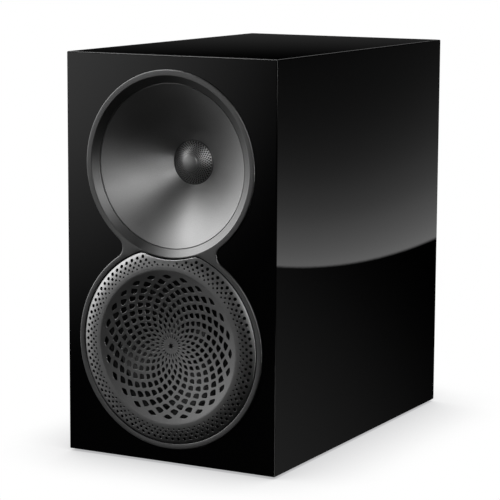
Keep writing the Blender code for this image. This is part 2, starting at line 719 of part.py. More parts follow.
def woofer_moving_parts():
    moving = bpy.data.objects.new("woofer_moving_axis", None)
    PARTS.objects.link(moving)
    moving.location = WOOFER
    moving.rotation_euler = FACING_FRONT
    skin = 1.2 * MM
    cone_steps = 4
    rim, neck = (54.4 * MM, -8.9 * MM), (17.9 * MM, -31 * MM)
    over = []
    for step in range(cone_steps + 1):
        t = step / cone_steps
        radius = rim[0] + (neck[0] - rim[0]) * t
        height = rim[1] + (neck[1] - rim[1]) * t ** 0.85
        over.append((radius, height))
    under = [(r, z - skin) for r, z in over]
    cone = turned("woofer_cone", list(reversed(over)) + under, "cone_grey", (0, 0, 0), (0, 0, 0), FINE)
    cap_edge = 22 * MM
    cap_sphere = 36 * MM
    cap_base = -25.4 * MM
    cap_over = dome_profile(cap_edge, cap_sphere, cap_base, 5)
    cap_under = dome_profile(cap_edge - 1 * MM, cap_sphere - 1 * MM, cap_base, 5)
    cap = turned("woofer_dust_cap", cap_over + list(reversed(cap_under)), "cone_grey",
                 (0, 0, 0), (0, 0, 0), MEDIUM, False)
    former = turned("woofer_coil_former",
                    [(15.9 * MM, -30.5 * MM), (16.5 * MM, -30.5 * MM),
                     (16.5 * MM, -65 * MM), (15.9 * MM, -65 * MM)],
                    "cone_grey", (0, 0, 0), (0, 0, 0), MEDIUM)
    winding = turned("woofer_voice_coil",
                     [(16.8 * MM, -52 * MM), (17.7 * MM, -52 * MM),
                      (17.7 * MM, -64 * MM), (16.8 * MM, -64 * MM)],
                     "copper", (0, 0, 0), (0, 0, 0), MEDIUM)
    for piece in (cone, cap, former, winding):
        piece.parent = moving


def woofer_suspension():
    lip_skin = 0.8 * MM
    roll = half_roll(54.8 * MM, 66 * MM, BASKET_FLANGE_FRONT + GAP + lip_skin, lip_skin, 5)
    turned("woofer_surround", roll_with_lips(roll, 71 * MM, lip_skin), "rubber", WOOFER, facets=FINE)
    waves = 3
    inner, outer = 16.8 * MM, 43.2 * MM
    steps = 2 * waves
    top = []
    for step in range(steps + 1):
        swing = 0 if step in (0, steps) else (1.5 * MM if step % 2 else -0.2 * MM)
        top.append((inner + (outer - inner) * step / steps, -40 * MM + swing))
    bottom = [(r, z - 0.45 * MM) for r, z in reversed(top)]
    turned("woofer_spider", top + bottom, "spider_cloth", WOOFER, facets=MEDIUM)


def woofer_motor():
    top_front = BASKET_SEAT - GAP
    top_back = top_front - 6 * MM
    magnet_back = top_back - GAP - 15 * MM
    yoke_back = magnet_back - GAP - 7 * MM
    turned("woofer_top_plate",
           [(18.2 * MM, top_front), (45 * MM, top_front), (45 * MM, top_back), (18.2 * MM, top_back)],
           "steel", WOOFER, facets=MEDIUM)
    turned("woofer_magnet",
           [(25 * MM, top_back - GAP), (48 * MM, top_back - GAP),
            (48 * MM, magnet_back), (25 * MM, magnet_back)],
           "ferrite", WOOFER, facets=MEDIUM)
    turned("woofer_pole_yoke",
           [(0, top_front), (15.3 * MM, top_front), (15.3 * MM, magnet_back - GAP),
            (44 * MM, magnet_back - GAP), (44 * MM, yoke_back), (0, yoke_back)],
           "steel", WOOFER, facets=MEDIUM, ring=False)
    spacer_front = 1.9 * MM
    spacer_back = BASKET_FLANGE_FRONT + 2 * GAP + 0.8 * MM + 0.3 * MM
    turned("woofer_lens_spacer",
           [(67.3 * MM, spacer_front), (72.6 * MM, spacer_front), (72.6 * MM, spacer_back),
            (67.3 * MM, spacer_back)],
           "black_plastic", WOOFER, facets=FINE)


# ---------------------------------------------------------------- rear of the cabinet

def port_tube():
    """A tube flared at both ends, with a flange that stands on the rear panel."""
    flare = PORT_FLARE - PORT_BORE
    flare_top = FLANGE_PROUD - 0.6 * MM
    inner_flare = 10 * MM
    inner_end = -PORT_LENGTH + inner_flare
    mouth = arc(PORT_FLARE, flare_top - flare, flare, 90, 180, 4)
    tail = arc(PORT_BORE + inner_flare, inner_end, inner_flare, 180, 250, 3)
    profile = [
        (PORT_FLARE + 6 * MM, FLANGE_PROUD), (PORT_FLARE + 6 * MM, GAP),
        (PORT_FLARE + PORT_SHOULDER, GAP), (PORT_FLARE + PORT_SHOULDER, -PORT_SHOULDER_DEPTH),
        (PORT_BORE + PORT_WALL, -PORT_SHOULDER_DEPTH), (PORT_BORE + PORT_WALL, inner_end),
        (tail[-1][0] + 2 * MM, tail[-1][1]),
    ]
    profile += list(reversed(tail)) + list(reversed(mouth)) + [(PORT_FLARE, FLANGE_PROUD)]
    turned("port_tube", profile, "black_plastic", PORT, FACING_BACK, FINE)


def cup_screw_places():
    x = CUP_WIDTH / 2 - CUP_BODY_MARGIN / 2
    z = CUP_TALL / 2 - CUP_BODY_MARGIN / 2
    return [(x, z), (-x, z), (-x, -z), (x, -z)]


def push_face(shape, outward, margin, depth):
    """Inset the face that looks along outward, and push what is left of it in by depth."""
    facing = [face for face in shape.faces if face.normal.dot(outward) > 0.99]
    face = max(facing, key=lambda found: found.calc_center_median().dot(outward))
    bmesh.ops.inset_region(shape, faces=[face], thickness=margin, use_even_offset=True)
    pushed = bmesh.ops.extrude_discrete_faces(shape, faces=[face])["faces"][0]
    bmesh.ops.translate(shape, vec=-depth * outward, verts=pushed.verts)


def terminal_cup():
    """A shallow dish let into the rear panel, with two holes in its floor for the posts."""
    back = Vector((0, 1, 0))
    flange = FLANGE_PROUD - GAP
    mesh = bpy.data.meshes.new("terminal_cup")
    shape = bmesh.new()
    bmesh.ops.create_cube(shape, size=1)
    bmesh.ops.scale(shape, vec=(CUP_WIDTH, flange, CUP_TALL), verts=shape.verts)
    bmesh.ops.translate(shape, vec=back * (FLANGE_PROUD + GAP) / 2, verts=shape.verts)
    shape.faces.ensure_lookup_table()
    push_face(shape, -back, CUP_BODY_MARGIN, -(CUP_RECESS + CUP_WALL + GAP))
    push_face(shape, back, CUP_BODY_MARGIN + CUP_WALL, CUP_RECESS + FLANGE_PROUD)
    shape.to_mesh(mesh)
    shape.free()
    cup = add_object("terminal_cup", mesh, "black_plastic")
    cup.location = CUP
    for side in (-1, 1):
        cut(cup, rod(f"cut_post_hole_{side + 1}", 3.3 * MM, 60 * MM,
                     CUP + Vector((side * POST_SPACING / 2, 0, 0)), facets=SMALL))
    for index, (x, z) in enumerate(cup_screw_places()):
        place = CUP + Vector((x, 0, z))
        cut(cup, rod(f"cut_cup_screw_{index}", 1.9 * MM, 20 * MM, place, facets=SMALL))
        turned(f"cup_screw_{index + 1}",
               [(0, FLANGE_PROUD + CUP_SCREW_HEAD), (2 * MM, FLANGE_PROUD + CUP_SCREW_HEAD),
                (3 * MM, FLANGE_PROUD + GAP), (1.3 * MM, FLANGE_PROUD + GAP),
                (1.3 * MM, -12 * MM), (0, -12 * MM)],
               "screw_steel", place, FACING_BACK, SMALL, False)


def binding_posts():
    """Each post: a threaded stud with its collar, a captive washer and a turning cap."""
    floor = -CUP_RECESS
    collar_top = floor + 3 * MM
    stud_back = floor - CUP_WALL - POST_TAIL
    washer_back = collar_top + GAP
    washer_front = washer_back + 1.2 * MM
    cap_back = washer_front + GAP
    cap_front = cap_back + POST_CAP_LENGTH
    bore_end = cap_front - 2.5 * MM
    thread = 2.4 * MM
    bore = thread + GAP
    for side, name, look in ((-1, "black", "black_plastic"), (1, "red", "red_plastic")):
        place = CUP + Vector((side * POST_SPACING / 2, 0, 0))
        turned(f"post_stud_{name}",
               [(0, bore_end - GAP), (thread, bore_end - GAP), (thread, collar_top),
                (7 * MM, collar_top), (7 * MM, floor + GAP), (2.9 * MM, floor + GAP),
                (2.9 * MM, stud_back), (0, stud_back)],
               "gold", place, FACING_BACK, COARSE, False)
        travel = bpy.data.objects.new(f"post_axis_{name}", None)
        PARTS.objects.link(travel)
        travel.location = place
        travel.rotation_euler = FACING_BACK
        washer = turned(f"post_washer_{name}",
                        [(bore, washer_front), (6 * MM, washer_front), (6 * MM, washer_back),
                         (bore, washer_back)],
                        "gold", (0, 0, 0), (0, 0, 0), COARSE)
        cap = turned(f"post_cap_{name}",
                     [(0, cap_front), (5.6 * MM, cap_front), (6.4 * MM, cap_front - 0.8 * MM),
                      (6.4 * MM, cap_back), (bore, cap_back), (bore, bore_end), (0, bore_end)],
                     look, (0, 0, 0), (0, 0, 0), COARSE, False)
        washer.parent = travel
        cap.parent = travel


# ---------------------------------------------------------------- crossover and wiring

FLOOR_Z = BASE_Z + WALL
BOARD_CENTRE = Vector((0, 62 * MM, FLOOR_Z + 5 * MM))
BOARD_TOP = BOARD_CENTRE.z + 0.8 * MM


def crossover():
    box("crossover_board", (120 * MM, 96 * MM, 1.6 * MM), BOARD_CENTRE, "board_green")
    for name, x, y, bore, outer, tall in (
        ("inductor_woofer", -34, 24, 13, 24, 22), ("inductor_tweeter", 38, -26, 8, 15, 14),
    ):
        base = BOARD_TOP + GAP
        turned(name, [(bore * MM, tall * MM), (outer * MM, tall * MM), (outer * MM, 0), (bore * MM, 0)],
               "copper", (x * MM, BOARD_CENTRE.y + y * MM, base), (0, 0, 0), COARSE)
    for name, radius, length, x, y in (
        ("capacitor_woofer", 10, 44, 28, 22), ("capacitor_tweeter", 7.5, 34, -32, -16),
    ):
        rod(name, radius * MM, length * MM,
            (x * MM, BOARD_CENTRE.y + y * MM, BOARD_TOP + GAP + radius * MM),
            "film_yellow", (0, math.pi / 2, 0), COARSE)
    box("crossover_resistor", (48 * MM, 9 * MM, 9 * MM),
        (-30 * MM, BOARD_CENTRE.y - 36 * MM, BOARD_TOP + GAP + 4.5 * MM), "ceramic", 0.8 * MM)


def wiring():
    """Three twin leads, drawn as round cables: posts to board, and board to each driver."""
    lead = 1.8 * MM
    stud_end = CUP.y - CUP_RECESS - CUP_WALL - POST_TAIL
    board_back = BOARD_CENTRE.y + 40 * MM
    z_board = BOARD_TOP + GAP + lead
    input_knots = [
        Vector((POST_SPACING / 2, stud_end - GAP - lead, CUP.z)),
        Vector((POST_SPACING / 2, stud_end - 12 * MM, CUP.z - 14 * MM)),
        Vector((24 * MM, board_back - 2 * MM, CUP.z - 40 * MM)),
        Vector((8 * MM, board_back - 4 * MM, z_board + 4 * MM)),
    ]
    woofer_knots = [
        Vector((4 * MM, BOARD_CENTRE.y - 30 * MM, z_board + 6 * MM)),
        Vector((30 * MM, BOARD_CENTRE.y - 58 * MM, z_board + 18 * MM)),
        Vector((56 * MM, FRONT_Y + 70 * MM, WOOFER.z - 20 * MM)),
        Vector((58 * MM, FRONT_Y + 46 * MM, WOOFER.z)),
    ]
    tweeter_knots = [
        Vector((66 * MM, BOARD_CENTRE.y + 10 * MM, z_board + 10 * MM)),
        Vector((70 * MM, BOARD_CENTRE.y - 20 * MM, z_board + 60 * MM)),
        Vector((44 * MM, 40 * MM, BASE_Z + BRACE_HEIGHT - 20 * MM)),
        Vector((38 * MM, 20 * MM, BASE_Z + BRACE_HEIGHT + 24 * MM)),
        Vector((24 * MM, FRONT_Y + 100 * MM, TWEETER.z - 10 * MM)),
        Vector((10 * MM, FRONT_Y + 88 * MM, TWEETER.z)),
    ]
    tube("input_cable", smooth_path(input_knots, 4), lead, "cable")
    tube("woofer_cable", smooth_path(woofer_knots, 4), lead, "cable")
    tube("tweeter_cable", smooth_path(tweeter_knots, 4), lead, "cable")


cabinet_shell()
rear_panel()
brace()
damping_pads()
feet()
trim_plate()
woofer_lens()
waveguide()
tweeter_lens()
tweeter_motor()
woofer_basket()
woofer_moving_parts()
woofer_suspension()
woofer_motor()
port_tube()
terminal_cup()
binding_posts()
crossover()
wiring()
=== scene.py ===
"""Looks for the bookshelf speaker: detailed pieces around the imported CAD, materials,
studio light and camera.

Front pieces are drawn in millimetres as (x, z, h): x and z from a driver's centre, seen
from the front, and h forward of the cabinet's front face. Rear pieces use the same
letters with h counted outward from the cabinet's back face.
"""

import math

import bmesh
import bpy
from mathutils import Matrix, Vector, geometry


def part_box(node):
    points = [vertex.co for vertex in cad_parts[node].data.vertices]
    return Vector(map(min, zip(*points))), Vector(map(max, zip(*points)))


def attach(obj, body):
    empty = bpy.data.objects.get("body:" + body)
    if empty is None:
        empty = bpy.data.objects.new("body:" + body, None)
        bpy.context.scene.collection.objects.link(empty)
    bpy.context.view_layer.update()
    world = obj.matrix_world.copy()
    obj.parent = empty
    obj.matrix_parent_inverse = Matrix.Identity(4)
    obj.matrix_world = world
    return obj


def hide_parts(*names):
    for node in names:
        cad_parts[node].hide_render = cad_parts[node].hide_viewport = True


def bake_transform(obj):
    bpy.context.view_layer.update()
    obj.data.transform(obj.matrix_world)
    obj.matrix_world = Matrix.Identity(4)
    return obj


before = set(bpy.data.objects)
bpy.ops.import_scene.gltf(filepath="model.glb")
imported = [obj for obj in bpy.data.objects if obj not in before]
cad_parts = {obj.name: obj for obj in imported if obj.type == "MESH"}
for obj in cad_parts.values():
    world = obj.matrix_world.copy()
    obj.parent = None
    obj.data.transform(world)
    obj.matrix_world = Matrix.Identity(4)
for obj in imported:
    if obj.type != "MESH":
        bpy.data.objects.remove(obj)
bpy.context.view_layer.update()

MM = 0.001
TURN = 2 * math.pi
MERGE_DISTANCE = 1e-7


# ---------------------------------------------------------------- places from the CAD

CABINET_LOW, CABINET_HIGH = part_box("cabinet_shell")


def centre_of(node):
    low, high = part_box(node)
    return (Vector(low) + Vector(high)) / 2


FRONT_Y = CABINET_LOW[1]
BACK_Y = CABINET_HIGH[1]
TWEETER = centre_of("tweeter_magnet")
WOOFER = centre_of("woofer_magnet")
PORT = centre_of("port_tube")
CUP = centre_of("terminal_cup")
APART = (TWEETER.z - WOOFER.z) / MM


def on_front(driver):
    """Placement of (x, z, h) points on the front face about a driver."""
    return lambda x, z, h: (driver.x + x * MM, FRONT_Y - h * MM, driver.z + z * MM)


def on_back(fitting):
    """Placement of (x, z, h) points on the back face about a fitting."""
    return lambda x, z, h: (fitting.x + x * MM, BACK_Y + h * MM, fitting.z + z * MM)


def upright(x0, y0, z0):
    """Placement of (x, y, height) points about a vertical axis, in metres at the origin."""
    return lambda x, y, h: (x0 + x * MM, y0 + y * MM, z0 + h * MM)


# ---------------------------------------------------------------- mesh tools

class Shape:
    """Vertices and faces of one piece, placed in the row frame as they are added."""

    def __init__(self, place):
        self.place = place
        self.flat = []
        self.verts = []
        self.faces = []

    def loop(self, points, heights):
        """Adds (x, z) points at one height, or one height each, and returns their indices."""
        start = len(self.verts)
        for index, (x, z) in enumerate(points):
            h = heights if isinstance(heights, (int, float)) else heights[index]
            self.flat.append((x, z))
            self.verts.append(self.place(x, z, h))
        return list(range(start, len(self.verts)))

    def strip(self, first, second):
        """Quads between two closed loops of the same length, or a fan to a single point."""
        count = max(len(first), len(second))
        for i in range(count):
            j = (i + 1) % count
            if len(second) == 1:
                self.faces.append((first[i], first[j], second[0]))
            elif len(first) == 1:
                self.faces.append((first[0], second[j], second[i]))
            else:
                self.faces.append((first[i], first[j], second[j], second[i]))

    def skin(self, rows):
        """Strips between each loop and the next."""
        for first, second in zip(rows, rows[1:]):
            self.strip(first, second)

    def fill(self, outer, holes=(), loose=(), flip=False):
        """Triangles inside the outer loop and outside the holes, through the loose points too."""
        loops = [outer, *holes]
        ids = [i for loop in loops for i in loop] + list(loose)
        local = {vert: n for n, vert in enumerate(ids)}
        flat = [Vector(self.flat[i]) for i in ids]
        faces = [counterclockwise([local[i] for i in loop], flat) for loop in loops]
        result = geometry.delaunay_2d_cdt(flat, [], faces, 1, 1e-6, True)
        origin = [found[0] for found in result[3]]
        for face, inside in zip(result[2], result[5]):
            if list(inside) == [0]:
                corners = [ids[origin[i]] for i in face]
                self.faces.append(tuple(reversed(corners)) if flip else tuple(corners))

    def build(self, name, look, body, replaces, sharp=32):
        """Makes the object, with its normals outward, parents it to its body and hides the CAD nodes it replaces."""
        mesh = bpy.data.meshes.new(name)
        mesh.from_pydata(self.verts, [], self.faces)
        return finish_piece(name, mesh, look, body, replaces, sharp)


def counterclockwise(loop, points):
    area = sum(points[a].cross(points[b]) for a, b in zip(loop, loop[1:] + loop[:1]))
    return loop if area > 0 else loop[::-1]


def face_outward(mesh, merge=False):
    """Turns a mesh's normals outward, after merging coinciding vertices if asked."""
    shape = bmesh.new()
    shape.from_mesh(mesh)
    if merge:
        bmesh.ops.remove_doubles(shape, verts=shape.verts, dist=MERGE_DISTANCE)
    bmesh.ops.recalc_face_normals(shape, faces=shape.faces)
    shape.to_mesh(mesh)
    shape.free()


def link_object(name, data):
    made = bpy.data.objects.new(name, data)
    bpy.context.scene.collection.objects.link(made)
    return made


def finish_piece(name, mesh, look, body, replaces, sharp=32):
    face_outward(mesh, merge=True)
    mesh.shade_smooth()
    mesh.set_sharp_from_angle(angle=math.radians(sharp))
    mesh.materials.append(look)
    made = link_object(name, mesh)
    if body:
        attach(made, body)
    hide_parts(*replaces)
    return made


def circle(radius, steps, start=0.0):
    return [(radius * math.cos(start + TURN * i / steps), radius * math.sin(start + TURN * i / steps))
            for i in range(steps)]


def arc(x, z, radius, start_deg, end_deg, steps):
    """Points along an arc, both ends included."""
    points = []
    for step in range(steps + 1):
        angle = math.radians(start_deg + (end_deg - start_deg) * step / steps)
        points.append((x + radius * math.cos(angle), z + radius * math.sin(angle)))
    return points


def spin(shape, profile, steps, closed):
    """Turns a profile of (radius, height) points; a closed profile makes a ring."""
    rings = []
    for radius, height in profile:
        points = [(0, 0)] if radius == 0 else circle(radius, steps)
        rings.append(shape.loop(points, height))
    shape.skin(rings)
    if closed:
        shape.strip(rings[-1], rings[0])
    return rings


def turned(name, profile, place, look, body, replaces, steps=96, closed=False, sharp=32):
    shape = Shape(place)
    spin(shape, profile, steps, closed)
    return shape.build(name, look, body, replaces, sharp)


def rounded(corner_in, corner, corner_out, radius, steps=4):
    """Points that round the corner of a profile, from the first leg to the second."""
    before = Vector(corner_in) - Vector(corner)
    after = Vector(corner_out) - Vector(corner)
    start = Vector(corner) + before.normalized() * radius
    end = Vector(corner) + after.normalized() * radius
    points = []
    for step in range(steps + 1):
        t = step / steps
        mixed = start * (1 - t) ** 2 + Vector(corner) * 2 * t * (1 - t) + end * t ** 2
        points.append((mixed.x, mixed.y))
    return points


def soften(profile, radii, closed=False):
    """The profile with the listed corners {index: radius} rounded."""
    result = []
    count = len(profile)
    for index, point in enumerate(profile):
        if index in radii and (closed or 0 < index < count - 1):
            result += rounded(profile[index - 1], point, profile[(index + 1) % count], radii[index])
        else:
            result.append(point)
    return result


def rounded_rectangle(half_x, half_z, radius, steps=8):
    points = []
    for sx, sz, start in ((1, 1, 0), (-1, 1, 90), (-1, -1, 180), (1, -1, 270)):
        points += arc(sx * (half_x - radius), sz * (half_z - radius), radius, start, start + 90, steps)
    return points


# ---------------------------------------------------------------- outlines of the front

TRIM_TWEETER_RADIUS = 80.4
TRIM_WOOFER_RADIUS = 88.0
TRIM_WAIST_RADIUS = 9.0
TRIM_PROUD = 1.2
TRIM_SUNK = 2.5
LENS_OPENING_RADIUS = 82.9
LENS_NOTCH_RADIUS = 76.7
LENS_CORNER_RADIUS = 14.0
LENS_EDGE_GAP = 0.4
OUTLINE_STEPS = 120
WAIST_STEPS = 14
NOTCH_STEPS = 40


def circle_meeting(reach_low, reach_high):
    """Where circles about the woofer and tweeter centres cross, on the +X side."""
    along = (APART ** 2 + reach_low ** 2 - reach_high ** 2) / (2 * APART)
    return math.sqrt(reach_low ** 2 - along ** 2), along


def heading(from_x, from_z, to_x, to_z):
    return math.degrees(math.atan2(to_z - from_z, to_x - from_x))


def mirrored(right):
    return right + [(-x, z) for x, z in reversed(right[1:-1])]


def trim_outline(grow):
    """Figure of eight about the woofer centre: two circles joined by waist fillets."""
    low = TRIM_WOOFER_RADIUS + grow
    high = TRIM_TWEETER_RADIUS + grow
    waist = TRIM_WAIST_RADIUS - grow
    x, z = circle_meeting(low + waist, high + waist)
    to_low = heading(0, 0, x, z)
    to_high = heading(0, APART, x, z)
    right = arc(0, 0, low, -90, to_low, OUTLINE_STEPS // 2)
    right += arc(x, z, waist, to_low + 180, to_high + 180, WAIST_STEPS)[1:]
    right += arc(0, APART, high, to_high, 90, OUTLINE_STEPS // 2)[1:]
    return mirrored(right)


def lens_outline(grow):
    """Disc about the woofer centre, notched to follow the tweeter, with rounded corners."""
    rim = LENS_OPENING_RADIUS + grow
    notch = LENS_NOTCH_RADIUS - grow
    corner = LENS_CORNER_RADIUS + grow
    x, z = circle_meeting(rim - corner, notch + corner)
    to_low = heading(0, 0, x, z)
    to_high = heading(0, APART, x, z)
    right = arc(0, 0, rim, -90, to_low, OUTLINE_STEPS // 2)
    right += arc(x, z, corner, to_low, to_high + 180, WAIST_STEPS)[1:]
    right += arc(0, APART, notch, to_high, -90, NOTCH_STEPS)[1:]
    return mirrored(right)


LENS_CREST = 4.6
LENS_CREST_RADIUS = 67.0
LENS_BOWL_DEPTH = 2.2
LENS_BOWL_CURVE = 0.0016
LENS_RIM_CURVE = 0.0149
LENS_THICKNESS = 0.7
LIP_START = 64.9
LIP_END = 67.9

HORN_THROAT_RADIUS = 19.0
HORN_MOUTH_RADIUS = 68.7
HORN_EDGE = HORN_MOUTH_RADIUS - 0.25
HORN_MOUTH_DEPTH = 3.2
HORN_MOUTH_SLOPE = 0.583
HORN_CURVE = 0.00324


def smoothstep(value):
    value = min(max(value, 0), 1)
    return value * value * (3 - 2 * value)


def lens_height(radius):
    """Lens surface: a shallow bowl that turns over a soft crest into the rim."""
    bowl = -LENS_BOWL_DEPTH + LENS_BOWL_CURVE * radius ** 2
    rim = LENS_CREST - LENS_RIM_CURVE * (radius - LENS_CREST_RADIUS) ** 2
    blend = smoothstep((radius - LIP_START) / (LIP_END - LIP_START))
    return min(bowl * (1 - blend) + rim * blend, LENS_CREST)


def horn_height(radius):
    inward = HORN_MOUTH_RADIUS - radius
    return -HORN_MOUTH_DEPTH - HORN_MOUTH_SLOPE * inward - HORN_CURVE * inward ** 2


# ---------------------------------------------------------------- materials

def math_node(tree, operation, *values):
    """A maths node fed by numbers or sockets, and its output."""
    made = tree.nodes.new("ShaderNodeMath")
    made.operation = operation
    for socket, value in zip(made.inputs, values):
        if isinstance(value, (int, float)):
            socket.default_value = value
        else:
            tree.links.new(value, socket)
    return made.outputs[0]


class Look:
    """A Principled material, with short ways to add texture nodes."""

    def __init__(self, name, colour, roughness, metallic=0.0):
        self.material = bpy.data.materials.new(name)
        self.material.use_nodes = True
        self.tree = self.material.node_tree
        self.shader = self.tree.nodes["Principled BSDF"]
        self.set("Base Color", (*colour, 1))
        self.set("Roughness", roughness)
        self.set("Metallic", metallic)
        self.coordinates = self.node("ShaderNodeTexCoord").outputs["Object"]
        self.height = None

    def node(self, kind, **settings):
        made = self.tree.nodes.new(kind)
        for key, value in settings.items():
            setattr(made, key, value)
        return made

    def set(self, socket, value):
        self.shader.inputs[socket].default_value = value
        return self

    def link(self, output, target):
        self.tree.links.new(output, target)

    def mapped(self, scale, centre=(0, 0, 0)):
        """Object coordinates about a centre, scaled per axis."""
        mapping = self.node("ShaderNodeMapping")
        mapping.inputs["Scale"].default_value = scale
        mapping.inputs["Location"].default_value = [-c * s for c, s in zip(centre, scale)]
        self.link(self.coordinates, mapping.inputs["Vector"])
        return mapping.outputs["Vector"]

    def noise(self, scale, detail=3.0, roughness=0.55, stretch=(1, 1, 1)):
        """Noise whose cells measure about 1 / scale metres."""
        made = self.node("ShaderNodeTexNoise")
        made.inputs["Scale"].default_value = scale
        made.inputs["Detail"].default_value = detail
        made.inputs["Roughness"].default_value = roughness
        self.link(self.mapped(stretch), made.inputs["Vector"])
        return made.outputs["Fac"]

    def cells(self, scale, feature="F1"):
        made = self.node("ShaderNodeTexVoronoi", feature=feature)
        made.inputs["Scale"].default_value = scale
        self.link(self.coordinates, made.inputs["Vector"])
        return made.outputs["Distance"]

    def rings(self, centre, spacing, axis="Y"):
        """Fine concentric rings about an axis through the centre, spacing in metres."""
        wave = self.node("ShaderNodeTexWave", wave_type="RINGS", rings_direction=axis)
        wave.inputs["Scale"].default_value = TURN / 20 / spacing
        wave.inputs["Distortion"].default_value = 0.0
        self.link(self.mapped((1, 1, 1), centre), wave.inputs["Vector"])
        return wave.outputs["Fac"]

    def bands(self, spacing, axis):
        wave = self.node("ShaderNodeTexWave", wave_type="BANDS", bands_direction=axis)
        wave.inputs["Scale"].default_value = TURN / 20 / spacing
        wave.inputs["Distortion"].default_value = 0.0
        self.link(self.coordinates, wave.inputs["Vector"])
        return wave.outputs["Fac"]

    def math(self, operation, first, second):
        return math_node(self.tree, operation, first, second)

    def vary(self, socket, factor, low, high):
        """Drives a number from low to high by a factor."""
        spread = self.node("ShaderNodeMapRange")
        spread.inputs["From Min"].default_value = 0.3
        spread.inputs["From Max"].default_value = 0.7
        spread.inputs["To Min"].default_value = low
        spread.inputs["To Max"].default_value = high
        self.link(factor, spread.inputs["Value"])
        self.link(spread.outputs["Result"], self.shader.inputs[socket])
        return self

    def tint(self, factor, *stops):
        """Base colour from a ramp of (position, colour) stops."""
        ramp = self.node("ShaderNodeValToRGB")
        elements = ramp.color_ramp.elements
        while len(elements) < len(stops):
            elements.new(0.5)
        for element, (position, colour) in zip(elements, stops):
            element.position = position
            element.color = (*colour, 1)
        self.link(factor, ramp.inputs["Fac"])
        self.link(ramp.outputs["Color"], self.shader.inputs["Base Color"])
        return self

    def bump(self, height, depth, strength=1.0):
        """Adds a bump of that depth in metres, on top of any earlier one."""
        made = self.node("ShaderNodeBump")
        made.inputs["Strength"].default_value = strength
        made.inputs["Distance"].default_value = depth
        self.link(height, made.inputs["Height"])
        if self.height is not None:
            self.link(self.height, made.inputs["Normal"])
        self.height = made.outputs["Normal"]
        self.link(self.height, self.shader.inputs["Normal"])
        return self


def grey(value, warmth=0.0):
    return (value * (1 + warmth), value, value * (1 - warmth))


def blasted(name, value, roughness, grain=0.00001):
    """Bead-blasted and anodised metal: even fine grain, faint cloudiness."""
    look = Look(name, grey(value), roughness, 1.0)
    cloud = look.noise(45, 4)
    grains = look.noise(2600, 2, 0.7)
    look.tint(grains, (0.30, grey(value * 0.86, 0.004)), (0.70, grey(value * 1.10, -0.004)))
    look.vary("Roughness", cloud, roughness - 0.025, roughness + 0.025)
    look.bump(grains, grain)
    return look.material


def grained(name, colour, roughness, metallic, fleck, low, high, gloss=None, relief=None):
    """A look whose colour follows a noise, with optional noise in its roughness
    (scale, detail, low, high) and relief (noise settings, then depth)."""
    look = Look(name, colour, roughness, metallic)
    look.tint(look.noise(*fleck), low, high)
    if gloss:
        look.vary("Roughness", look.noise(*gloss[:2]), *gloss[2:])
    if relief:
        look.bump(look.noise(*relief[:-1]), relief[-1])
    return look.material


